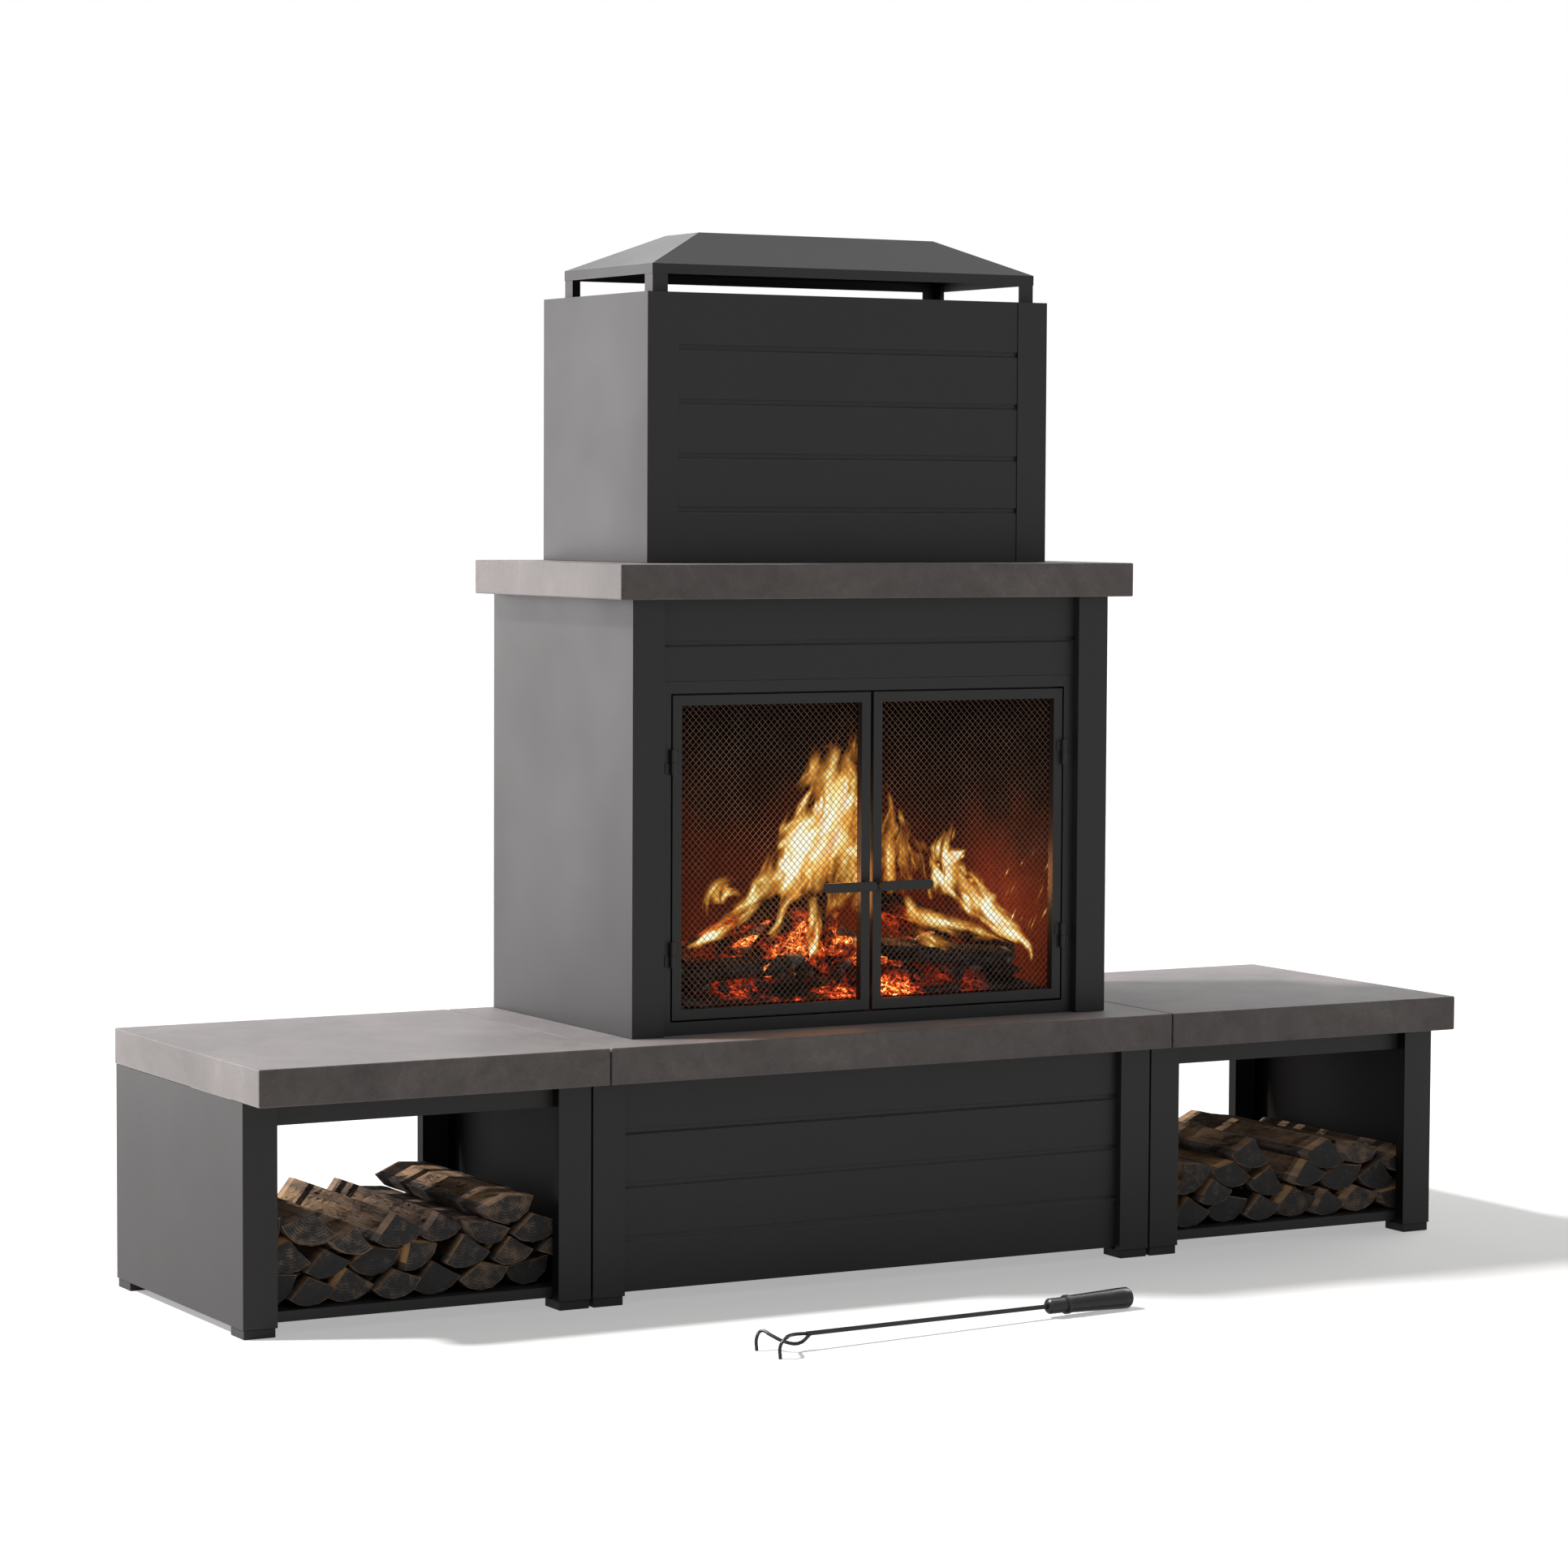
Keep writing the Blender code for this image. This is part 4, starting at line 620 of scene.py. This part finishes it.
# %% Sizes of the logs
small, medium, large = 0.044, 0.053, 0.061
log_length, log_setback, log_stagger, clearance = 0.455, 0.032, 0.026, 0.0003
log_bite = 0.0005
left_stack = (
    (large, 150, 0.6), (medium, 110, 0.1), (large, 95, 0.5), (medium, 120, 0.0),
    (large, 100, 0.4), (medium, 130, 0.2), (small, 180, 0.9), (medium, 100, 0.3),
    (medium, 140, 0.7), (large, 92, 0.2), (medium, 105, 0.5), (small, 175, 0.0),
    (medium, 96, 0.6), (large, 110, 0.4), (medium, 120, 0.0), (medium, 98, 0.3),
    (small, 160, 0.5), (large, 100, 0.2), (medium, 135, 0.1), (medium, 95, 0.8),
    (large, 115, 0.3), (medium, 150, 0.6),
)
right_stack = (
    (medium, 100, 0.3), (large, 96, 0.1), (medium, 140, 0.7), (medium, 105, 0.2),
    (large, 110, 0.5), (medium, 92, 0.0), (medium, 120, 0.4), (small, 180, 0.2),
    (large, 98, 0.6), (medium, 100, 0.1), (medium, 150, 0.5), (large, 92, 0.8),
    (small, 178, 0.3), (medium, 96, 0.1), (medium, 125, 0.6), (large, 102, 0.4),
    (medium, 96, 0.0), (large, 105, 0.3), (small, 165, 0.5), (medium, 110, 0.1),
    (large, 94, 0.6),
)
print("logs to lay:", len(left_stack), "and", len(right_stack))


# %% Rules for laying
def height_at(outline, x, pick):
    """The lowest or highest point of an outline above one place on the shelf."""
    found = []
    for start, end in zip(outline, outline[1:] + outline[:1]):
        low, high = sorted((start.x, end.x))
        if low <= x <= high and high > low:
            found.append(start.y + (end.y - start.y) * (x - start.x) / (end.x - start.x))
    return pick(found) if found else None


def rested(outline, pile, floor_height):
    """Lowers an outline onto the shelf or the pile, and says whether it met the shelf first."""
    to_floor = min(point.y for point in outline) - floor_height - clearance
    drop = to_floor
    reach = [min(point.x for point in outline), max(point.x for point in outline)]
    for other in pile:
        if max(point.x for point in other) < reach[0] or min(point.x for point in other) > reach[1]:
            continue
        for x in [point.x for point in outline + other]:
            above, below = height_at(outline, x, min), height_at(other, x, max)
            if above is not None and below is not None:
                drop = min(drop, above - below + log_bite)
    return [point - Vector((0, drop)) for point in outline], drop == to_floor


def swapped(outline):
    """An outline with its two directions exchanged, so that rested can push it sideways."""
    return [Vector((point.y, point.x)) for point in outline]


# %% Find the lowest place
tried_turns = (78, 100, 125, 250, 272, 300)
tried_places = 14


def best_rest(radius, split, left, right, pile, shelf, ceiling):
    """Tries a log at several places and turns, and keeps the lowest."""
    best = None
    for turn in tried_turns:
        section = log_section(radius, split, turn)
        low = min(point.x for point in section)
        room = right - left - 2 * clearance - (max(point.x for point in section) - low)
        lift = ceiling - min(point.y for point in section)
        for i in range(tried_places):
            shift = left + clearance - low + room * i / (tried_places - 1)
            outline, on_shelf = rested([point + Vector((shift, lift)) for point in section], pile, shelf)
            height = sum(point.y for point in outline) / len(outline)
            if best is None or height < best[0]:
                best = height, outline, on_shelf
    outline, on_shelf = best[1:]
    if on_shelf and pile:
        outline = swapped(rested(swapped(outline), [swapped(other) for other in pile], left)[0])
    return outline


# %% Lay both stacks
for side, logs, seed in (("left", left_stack, 4), ("right", right_stack, 9)):
    shelf_low, shelf_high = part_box(f"{side}_bench_shelf")
    shelf, ceiling = shelf_high[2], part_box(f"{side}_bench_slab")[1][2]
    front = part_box(f"{side}_bench_outer_panel")[0][1] + log_setback
    choose = random.Random(seed)
    pile, bm = [], new_wood()
    for radius, split, back in logs:
        outline = best_rest(radius, split, shelf_low[0], shelf_high[0], pile, shelf, ceiling)
        pile.append(outline)
        heart = outline[-1] if split < half_round else (outline[0] + outline[-1]) / 2
        start, length = front + log_stagger * back, log_length + log_stagger * (0.5 - back)
        add_log(bm, outline, heart, radius, start, length,
                choose.random(), choose.random(), choose.random() * 10)
    print(side, "stack:", len(pile), "logs,", len(bm.faces), "faces")
    node = f"{side}_bench_firewood"
    show(f"{side}_split_logs", bm, firewood, body_of_node[node], node, smooth=40)

# %% [markdown]
# ## The burning logs
#
# On the fire the logs lean together like the poles of a tent. They are black with an alligator pattern of
# cracks, pale ash where they have burnt longest, and they glow in the cracks low down. The glow is the
# shader's own emission, strongest near the bed, around two places along it, and where a slow noise says so.

# %% Make the charred finishes
hottest, second_hottest = -0.04, 0.20


def heat_along(finish, across):
    """How hot the fire is along its length, by two soft spots."""
    first = joined(finish, "ABSOLUTE", joined(finish, "SUBTRACT", across, hottest), 0.0)
    second = joined(finish, "ABSOLUTE", joined(finish, "SUBTRACT", across, second_hottest), 0.0)
    return joined(finish, "MAXIMUM", span(finish, first, 1.0, 0.0, 0.13, 0.28),
                  span(finish, second, 0.5, 0.0, 0.03, 0.11))


def hot_finish(name, crack_scale, crack_share, glow, ash_from, glow_top, attribute=None):
    """Charcoal with ash that gathers by patches and a glow low down, in cracks or between lumps."""
    finish = new_finish(name, (0.02, 0.015, 0.012), 0.9, Specular_IOR_Level=0.2)
    here = place_in(finish)
    where = place_in(finish, (1, 0.45, 1), attribute) if attribute else here
    cells = add(finish, "TexVoronoi", {"Vector": where, "Scale": crack_scale, "Randomness": 0.9},
                feature="DISTANCE_TO_EDGE").outputs["Distance"]
    crack = product(finish, span(finish, cells, 1.0, 0.0, 0.0, 0.10), crack_share)
    patch = cloud(finish, here, 14.0, 4.0, 0.6)
    moved = add(finish, "Mapping", {"Vector": here, "Location": (3.1, 1.7, 0.4)}).outputs["Vector"]
    fine = cloud(finish, here, 120.0, 5.0, 0.65, 0.6)
    burnt = weighed(finish, (cloud(finish, moved, 22.0), 0.5), (fine, 0.5))
    axes = add(finish, "SeparateXYZ", {"Vector": here}).outputs
    low = span(finish, axes["Z"], 1.0, 0.0, glow_top - 0.03, glow_top)
    warm = product(finish, span(finish, patch, 0.0, 1.0, 0.30, 0.70), low, heat_along(finish, axes["X"]))
    if attribute:
        written = add(finish, "Attribute", attribute_name="wood").outputs["Vector"]
        ashy = add(finish, "SeparateXYZ", {"Vector": written}).outputs[2]
        burnt = joined(finish, "ADD", burnt, span(finish, ashy, -0.15, 0.35))
        warm = product(finish, warm, span(finish, ashy, 1.0, 0.0, 0.3, 0.7))
    feed(finish, "Base Color", tint(finish, burnt, (0.0, (0.006, 0.005, 0.005)),
                                    (ash_from - 0.15, (0.030, 0.021, 0.018)),
                                    (ash_from, (0.11, 0.105, 0.108)), (1.0, (0.40, 0.41, 0.43))))
    lit = product(finish, warm, joined(finish, "MAXIMUM", crack, span(finish, fine, 0.0, 1.0, 0.25, 0.85)))
    feed(finish, "Emission Color", tint(finish, lit, (0.0, (0.55, 0.015, 0.003)), (0.35, (1.0, 0.07, 0.009)),
                                        (0.65, (1.0, 0.28, 0.04)), (1.0, (1.0, 0.62, 0.20))))
    feed(finish, "Emission Strength", product(finish, joined(finish, "POWER", lit, 1.4), glow))
    relief(finish, joined(finish, "SUBTRACT", product(finish, fine, 0.6), crack), 0.003)
    return finish


charred = hot_finish("charred wood", 55.0, 0.8, 2.6, 0.72, 0.66, "heart")
embers = hot_finish("charcoal and embers", 70.0, 0.25, 4.2, 0.66, 0.547)
print("charred finishes made:", charred.name, "and", embers.name)

# %% [markdown]
# ### Broken charcoal
#
# Under the logs lies a heap of broken charcoal. Each lump is a ball of eighty faces, squashed, turned and
# dented by noise. Their number hides how simple each one is.

# %% Shape a lump of charcoal
bed_low, bed_high = [Vector(corner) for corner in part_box("charcoal_bed")]


def add_lump(bm, place, radius, choose):
    """A broken piece of charcoal."""
    lump = bmesh.ops.create_icosphere(bm, subdivisions=2, radius=1)["verts"]
    seed = Vector([choose.uniform(0, 90) for _ in range(3)])
    for v in lump:
        v.co *= 1 + 0.55 * noise.noise(v.co * 1.5 + seed)
    turn = Matrix.Rotation(choose.uniform(0, 6.3), 4,
                           Vector((choose.random() - 0.5, choose.random() - 0.5, 1)))
    shape = Matrix.Diagonal((radius * choose.uniform(0.9, 2.1), radius, radius * choose.uniform(0.5, 0.8), 1))
    bmesh.ops.transform(bm, matrix=Matrix.Translation(place) @ turn @ shape, verts=lump)
    return lump


# %% Scatter larger chunks under the logs
chunk_count = 170
chunk_radii = (0.012, 0.016, 0.020, 0.026)
chunk_ash = (0.0, 0.0, 0.1, 0.3, 0.9)
crown_height, crown_half_length, crown_half_depth, crown_middle = 0.075, 0.42, 0.20, 0.27


def scatter_chunks(bm):
    """A low heap of larger pieces of charcoal that fills the space under the logs."""
    choose = random.Random(8)
    origin, kind = bm.verts.layers.float_vector["heart"], bm.faces.layers.float_vector["wood"]
    for _ in range(chunk_count):
        x, y = choose.uniform(-0.34, 0.36), choose.uniform(bed_low.y + 0.04, bed_high.y - 0.09)
        crown = max(0.0, 1 - abs(x) / crown_half_length)
        crown *= max(0.0, 1 - ((y - crown_middle) / crown_half_depth) ** 2)
        radius = choose.choice(chunk_radii)
        height = bed_high.z + radius * 0.4 + crown_height * crown * choose.uniform(0.3, 1)
        lump = add_lump(bm, (x, y, height), radius, choose)
        ash = choose.choice(chunk_ash)
        for v in lump:
            v[origin] = v.co
            for f in v.link_faces:
                f[kind] = (0.3, 0.0, ash)


# %% Lean the burning logs together
fire_log, fire_reach = 0.045, 0.300
slope = 0.020
leaning = (
    ((0.10, 0.64, 0.00), (0.94, 0.66, 0.02), 170, 90, 0.4),
    ((0.08, 0.14, 0.03), (0.47, 0.44, 0.50), 140, 85, 0.1),
    ((0.24, 0.06, 0.02), (0.54, 0.40, 0.60), 120, 95, 0.2),
    ((0.41, 0.02, 0.00), (0.57, 0.46, 0.78), 110, 80, 0.0),
    ((1.00, 0.12, 0.02), (0.56, 0.40, 0.50), 130, 95, 0.2),
    ((0.95, 0.02, 0.00), (0.55, 0.10, 0.10), 150, 90, 0.95),
    ((0.03, 0.04, 0.00), (0.36, 0.12, 0.02), 160, 90, 1.0),
    ((0.90, 0.70, 0.06), (0.56, 0.56, 0.74), 130, 85, 0.1),
)
bm = new_wood()
scatter_chunks(bm)
low, high = bed_low + Vector((slope, slope, 0)), bed_high - Vector((slope, slope, 0))
for i, (start, end, split, turn, ash) in enumerate(leaning):
    ends = [Vector((low.x + (high.x - low.x) * x, low.y + (high.y - low.y) * y, fire_reach * z))
            for x, y, z in (start, end)]
    along = ends[1] - ends[0]
    outline = log_section(fire_log, split, turn)
    lie = Matrix.Translation(ends[0]) @ along.to_track_quat("Y", "Z").to_matrix().to_4x4()
    lowest = min((lie @ Vector((p.x, y, p.y))).z for p in outline for y in (0, along.length))
    lift = bed_high.z + clearance - lowest + fire_reach * min(start[2], end[2])
    add_log(bm, outline, Vector((0, 0)), fire_log, 0, along.length, 0.3, ash, i * 1.7, wear=0.004,
            place=Matrix.Translation((0, 0, lift)) @ lie)
print("burning logs:", len(leaning), "with", len(bm.faces), "faces")
show("charred_logs", bm, charred, body_of_node["burning_logs"], "burning_logs", smooth=28)

# %% [markdown]
# ## The bed of embers
#
# A low mound carries a few hundred of the same lumps, smaller than those under the logs. A grid makes the
# mound: its middle is lifted, its rim slopes down, and a skirt from the rim reaches the tray.

# %% Heap up the charcoal
lump_count = 430
lump_radii = (0.008, 0.010, 0.013, 0.017, 0.024)
mound_height, mound_rim = 0.012, 0.05
choose = random.Random(21)
bm = bmesh.new()
middle, size = (bed_low + bed_high) / 2, bed_high - bed_low
place = Matrix.Translation((middle.x, middle.y, bed_low.z + mound_height))
bmesh.ops.create_grid(bm, x_segments=60, y_segments=28, size=0.5,
                      matrix=place @ Matrix.Diagonal((size.x, size.y, 1, 1)))
for v in bm.verts:
    edge = min(size.x / 2 - abs(v.co.x - middle.x), size.y / 2 - abs(v.co.y - middle.y))
    raised = min(1, edge / mound_rim)
    v.co.z += raised * (0.012 + 0.008 * noise.noise(v.co * 30)) - (1 - raised) * 0.011
skirt = bmesh.ops.extrude_edge_only(bm, edges=[e for e in bm.edges if e.is_boundary])["geom"]
for v in skirt:
    if isinstance(v, bmesh.types.BMVert):
        v.co.z = bed_low.z
for _ in range(lump_count):
    x = choose.uniform(bed_low.x + 0.02, bed_high.x - 0.02)
    y = choose.uniform(bed_low.y + 0.015, bed_high.y - 0.015)
    radius = choose.choice(lump_radii)
    add_lump(bm, (x, y, bed_low.z + 2 * mound_height + radius * 0.35), radius, choose)
bmesh.ops.recalc_face_normals(bm, faces=bm.faces)
print("charcoal:", len(bm.faces), "faces")
show("ember_bed", bm, embers, body_of_node["charcoal_bed"], "charcoal_bed", smooth=28)

# %% [markdown]
# ## Flames
#
# Flames have no surface of their own. Thin sheets of glow stand in for them: each tongue follows a path, and
# its colour and how much it hides come from its own UV map, which runs across the tongue and along it. Noise
# stretched along the path tears the edges into streaks. Each broad tongue has two narrower sheets at an angle
# to the first, so that it doesn't vanish when seen from the side.

# %% Tear the flame into streaks
flame = bpy.data.materials.new("flame")
flame.use_nodes = True
flame.node_tree.nodes.remove(flame.node_tree.nodes["Principled BSDF"])
spot = add(flame, "SeparateXYZ", {"Vector": add(flame, "UVMap", uv_map="shape").outputs["UV"]}).outputs
drawn = add(flame, "UVMap", uv_map="length").outputs["UV"]
swirl = add(flame, "TexNoise", {"Vector": drawn, "Scale": 16.0, "Detail": 2.0}).outputs["Color"]
push = add(flame, "VectorMath", {0: swirl, 1: (0.5, 0.5, 0.5)}, operation="SUBTRACT").outputs[0]
pushed = add(flame, "VectorMath", {0: push, "Scale": 0.055}, operation="SCALE").outputs[0]
curled = add(flame, "VectorMath", {0: drawn, 1: pushed}, operation="ADD").outputs[0]


def streaks(scale, detail, rough, wander):
    """Cloudy noise drawn out along the tongue."""
    stretched = add(flame, "Mapping", {"Vector": curled, "Scale": scale}).outputs["Vector"]
    return cloud(flame, stretched, 1.0, detail, rough, wander)


billows = streaks((26, 9, 1), 3.0, 0.55, 0.5)
strands = streaks((85, 17, 1), 4.0, 0.6, 0.4)
print("flame noises made")

# %% Colour the flame by its heat
off_centre = joined(flame, "ABSOLUTE", span(flame, spot["X"], -1.0, 1.0), 0.0)
ragged = joined(flame, "ADD", off_centre, span(flame, billows, 0.38, -0.30))
core = span(flame, ragged, 1.0, 0.0)
root = product(flame, span(flame, spot["Y"], 0.40, 1.0, 0.0, 0.40),
               span(flame, spot["Y"], 0.0, 1.0, 0.0, 0.08))
fade = product(flame, span(flame, spot["Y"], 1.0, 0.0, 0.45, 1.0), root)
fierce = add(flame, "Attribute", attribute_name="fierce").outputs["Fac"]
torn = weighed(flame, (billows, 0.6), (strands, 0.4))
heat = joined(flame, "ADD", product(flame, core, fade, fierce, 1.25), span(flame, torn, -0.84, 0.20))
cover = joined(flame, "POWER", span(flame, heat, 0.0, 0.96, 0.0, 0.88), 1.25)
flame_colour = tint(flame, heat, (0.0, (0.36, 0.045, 0.003)), (0.16, (0.64, 0.18, 0.016)),
                    (0.38, (0.86, 0.33, 0.038)), (0.60, (1.0, 0.56, 0.11)), (0.80, (1.0, 0.82, 0.34)),
                    (1.0, (1.0, 0.97, 0.76)))
shining = add(flame, "Emission", {"Color": flame_colour, "Strength": 1.05}).outputs[0]
clear = add(flame, "BsdfTransparent").outputs[0]
burning = add(flame, "MixShader", {0: cover, 1: clear, 2: shining}).outputs[0]
flame.node_tree.links.new(burning, flame.node_tree.nodes["Material Output"].inputs["Surface"])
print("flame finish made")


# %% Raise one tongue of flame
def smooth_path(points, per_span=6):
    """A smooth run of points through the given ones; each is a vector of any length."""
    ends = [points[0], *points, points[-1]]
    path = []
    for a, b, c, d in zip(ends, ends[1:], ends[2:], ends[3:]):
        for i in range(per_span):
            t = i / per_span
            path.append(0.5 * (2 * b + (c - a) * t + (2 * a - 5 * b + 4 * c - d) * t * t
                               + (3 * b - a - 3 * c + d) * t ** 3))
    return path + [points[-1]]


facing = Vector((eye.x, eye.y, 0)).normalized()
bulge_share = 0.25


def add_tongue(bm, pixels, depth, seed, fierce=1.0, turn=0.0, narrow=1.0, across=10):
    """Adds a sheet along a path of (pixel across, pixel down, half width in pixels), bulged to the front."""
    shape, length = bm.loops.layers.uv["shape"], bm.loops.layers.uv["length"]
    strength = bm.faces.layers.float["fierce"]
    points = []
    for px, py, half in pixels:
        place = seen_at(px, py, depth)
        points.append(Vector((*place, (seen_at(px + half, py, depth) - place).length * narrow)))
    path = smooth_path(points)
    normal = Matrix.Rotation(turn, 3, "Z") @ facing
    travelled, rows = [0.0], []
    for a, b in zip(path, path[1:]):
        travelled.append(travelled[-1] + (b.xyz - a.xyz).length)
    for i, point in enumerate(path):
        ahead = (path[min(i + 1, len(path) - 1)].xyz - path[max(i - 1, 0)].xyz).normalized()
        out = ahead.cross(normal).normalized()
        bulge = normal * bulge_share * point.w
        row = []
        for j in range(across + 1):
            u = 2 * j / across - 1
            row.append(bm.verts.new(point.xyz + out * u * point.w + bulge * (1 - u * u)))
        rows.append(row)
    for i, (row, after) in enumerate(zip(rows, rows[1:])):
        for j in range(across):
            face = bm.faces.new((row[j], row[j + 1], after[j + 1], after[j]))
            face[strength] = fierce
            for loop, (k, m) in zip(face.loops, ((i, j), (i, j + 1), (i + 1, j + 1), (i + 1, j))):
                side = m / across
                loop[shape].uv = (side, travelled[k] / travelled[-1])
                loop[length].uv = ((side - 0.5) * 2 * path[k].w + seed * 1.37, travelled[k] + seed * 0.61)


# %% Draw wisps along a tongue
wisp_shares = (1, 1.5, 1.2, 0.8, 0.2)
wisp_reach = 84


def wisps(pixels, count, choose):
    """Thin strands that follow a tongue's path, each beginning and ending somewhere along it."""
    path = smooth_path([Vector(point) for point in pixels], 8)
    drawn_strands = []
    for _ in range(count):
        start = choose.randrange(0, int(len(path) * 0.6))
        run = choose.randrange(len(path) // 4, len(path) // 2)
        aside = choose.choice((-1, 1)) * choose.uniform(0.4, 1.1)
        drift = choose.uniform(-0.5, 0.5)
        half = choose.uniform(2, 6)
        strand = []
        for i, share in enumerate(wisp_shares):
            spine = path[min(start + run * i // 4, len(path) - 1)]
            offset = (aside + drift * i / 4) * max(spine.z, 5)
            beyond = max(0, start + run * i / 4 - len(path) + 1) / len(path)
            strand.append((spine.x + offset, spine.y - wisp_reach * beyond, half * share))
        drawn_strands.append(strand)
    return drawn_strands


# %% [markdown]
# ### Where the tongues are
#
# A broad body of flame climbs from the left logs to one tall tip, and a lower one runs down the right log.
# Small tongues lick along the logs, curl at the far left and hang below their heads. Each row gives the depth
# into the fire, how fierce the tongue burns, and its path from root to tip in pixels of the picture, each
# point with the tongue's half width there.

# %% Paths of the tongues
tongues = (
    (0.165, 1.20, ((985, 1120, 26), (996, 1062, 38), (1020, 1010, 36), (1042, 955, 26), (1050, 905, 14),
                   (1050, 862, 4))),
    (0.175, 1.05, ((1004, 1110, 24), (1018, 1050, 36), (1040, 1005, 32), (1053, 965, 20), (1053, 915, 8))),
    (0.150, 1.80, ((960, 1112, 14), (972, 1082, 26), (988, 1048, 33), (1010, 1014, 28), (1032, 985, 12))),
    (0.160, 1.80, ((1020, 1020, 16), (1034, 988, 21), (1043, 960, 18), (1049, 930, 5))),
    (0.185, 0.78, ((1000, 1010, 26), (1018, 955, 28), (1034, 915, 22), (1044, 875, 7))),
    (0.180, 0.80, ((948, 1110, 22), (966, 1060, 26), (984, 1010, 20), (998, 970, 12), (1006, 930, 4))),
    (0.185, 1.10, ((1030, 1130, 22), (1040, 1070, 34), (1058, 1010, 36), (1068, 970, 24), (1060, 925, 5))),
    (0.190, 0.90, ((1060, 1130, 24), (1068, 1070, 34), (1082, 1020, 28), (1092, 985, 13), (1090, 955, 3))),
    (0.150, 0.90, ((850, 1160, 6), (884, 1142, 14), (920, 1112, 17), (948, 1084, 20), (970, 1050, 22),
                   (990, 1010, 12))),
    (0.140, 1.25, ((842, 1170, 3), (868, 1157, 9), (893, 1146, 10), (914, 1134, 5))),
    (0.160, 0.95, ((872, 1136, 6), (872, 1110, 10), (884, 1090, 12), (905, 1083, 10), (923, 1090, 4))),
    (0.165, 0.90, ((889, 1116, 4), (894, 1100, 8), (906, 1100, 7), (918, 1110, 3))),
    (0.130, 1.05, ((1003, 1096, 8), (1005, 1125, 9), (1006, 1152, 8), (996, 1183, 6), (972, 1221, 2))),
    (0.150, 0.78, ((984, 1090, 12), (970, 1112, 10), (962, 1132, 8), (950, 1150, 7), (922, 1176, 3))),
    (0.145, 0.78, ((1022, 1088, 14), (1024, 1110, 11), (1018, 1132, 8), (1012, 1152, 3))),
    (0.145, 0.90, ((925, 1178, 4), (948, 1162, 6), (968, 1149, 6), (978, 1140, 2))),
    (0.175, 1.00, ((1096, 1110, 20), (1094, 1055, 24), (1100, 1012, 16), (1104, 980, 4))),
    (0.180, 0.75, ((1122, 1098, 14), (1110, 1052, 18), (1113, 1015, 11), (1108, 985, 3))),
    (0.170, 0.62, ((1142, 1104, 14), (1136, 1070, 14), (1128, 1042, 9), (1118, 1024, 3))),
    (0.165, 1.30, ((1160, 1110, 14), (1166, 1075, 18), (1164, 1045, 15), (1172, 1018, 9), (1178, 998, 3))),
    (0.160, 1.70, ((1160, 1068, 10), (1176, 1054, 11), (1198, 1043, 2))),
    (0.150, 1.65, ((1264, 1164, 6), (1240, 1146, 15), (1212, 1120, 22), (1188, 1092, 21), (1168, 1062, 17),
                   (1158, 1036, 5))),
    (0.145, 1.25, ((1271, 1188, 2), (1269, 1168, 5), (1250, 1152, 10), (1226, 1138, 10), (1205, 1118, 6))),
    (0.150, 1.00, ((1184, 1084, 5), (1202, 1084, 6), (1218, 1098, 2))),
    (0.120, 0.95, ((1110, 1104, 7), (1124, 1120, 14), (1150, 1131, 14), (1190, 1144, 13), (1226, 1156, 10),
                   (1254, 1166, 3))),
    (0.125, 0.80, ((1128, 1138, 6), (1124, 1118, 8), (1112, 1100, 4))),
    (0.110, 1.15, ((988, 1214, 3), (976, 1203, 6), (962, 1218, 1))),
    (0.100, 0.66, ((1118, 1128, 8), (1132, 1146, 15), (1152, 1160, 14), (1180, 1170, 8), (1200, 1174, 3))),
    (0.095, 0.74, ((1130, 1150, 5), (1146, 1164, 9), (1166, 1174, 6), (1184, 1178, 2))),
)
broad_half = 12
spark_count, spark_columns, spark_rows = 26, (1232, 1296), (1050, 1150)

# %% Draw the flames
choose = random.Random(5)
bm = bmesh.new()
bm.loops.layers.uv.new("shape")
bm.loops.layers.uv.new("length")
bm.faces.layers.float.new("fierce")
drawn_wisps = 0
for i, (depth, fierce, path) in enumerate(tongues):
    widest = max(half for _, _, half in path)
    add_tongue(bm, path, depth, i, fierce)
    if widest > broad_half:
        add_tongue(bm, path, depth + 0.02, i + 40, fierce * 0.7, radians(60), 0.7)
        add_tongue(bm, path, depth + 0.01, i + 80, fierce * 0.6, radians(-55), 0.7)
    for strand in wisps(path, 3 + int(widest / 6), choose):
        add_tongue(bm, strand, depth + choose.uniform(-0.02, 0.03), choose.uniform(0, 90), 0.72 * fierce,
                   across=4)
        drawn_wisps += 1
for _ in range(spark_count):
    x, y, rise = choose.uniform(*spark_columns), choose.uniform(*spark_rows), choose.uniform(12, 34)
    spark = [(x + rise * 0.45 * t, y - rise * t, 0.9) for t in (0, 0.5, 1)]
    add_tongue(bm, spark, choose.uniform(0.07, 0.10), choose.uniform(0, 90), 0.85, across=2)
print("flames:", len(tongues), "tongues,", drawn_wisps, "wisps,", len(bm.faces), "faces")
show("flames", bm, flame, body_of_node["burning_logs"], smooth=None, slot="burning_logs")

# %% [markdown]
# ## Firelight
#
# The flames' own emission is weak and noisy as a light, so three warm lamps inside the firebox do that work:
# one in the flames and two low down at the ends, which add to the painted firelight at the foot of the liner
# and leave its top black.

# %% Light the firebox
fire_lamps = (
    ("flame light", (-0.02, 0.12, 0.70), 1.6, (1.0, 0.36, 0.10), 0.06),
    ("ember light left", (-0.29, 0.30, 0.77), 2.1, (1.0, 0.38, 0.17), 0.05),
    ("ember light right", (0.29, 0.28, 0.68), 2.2, (1.0, 0.34, 0.12), 0.05),
)
for name, place, power, colour, radius in fire_lamps:
    hang(name, "POINT", power, colour, Matrix.Translation(place), shadow_soft_size=radius)
print("lamps in the fire:", len(fire_lamps))
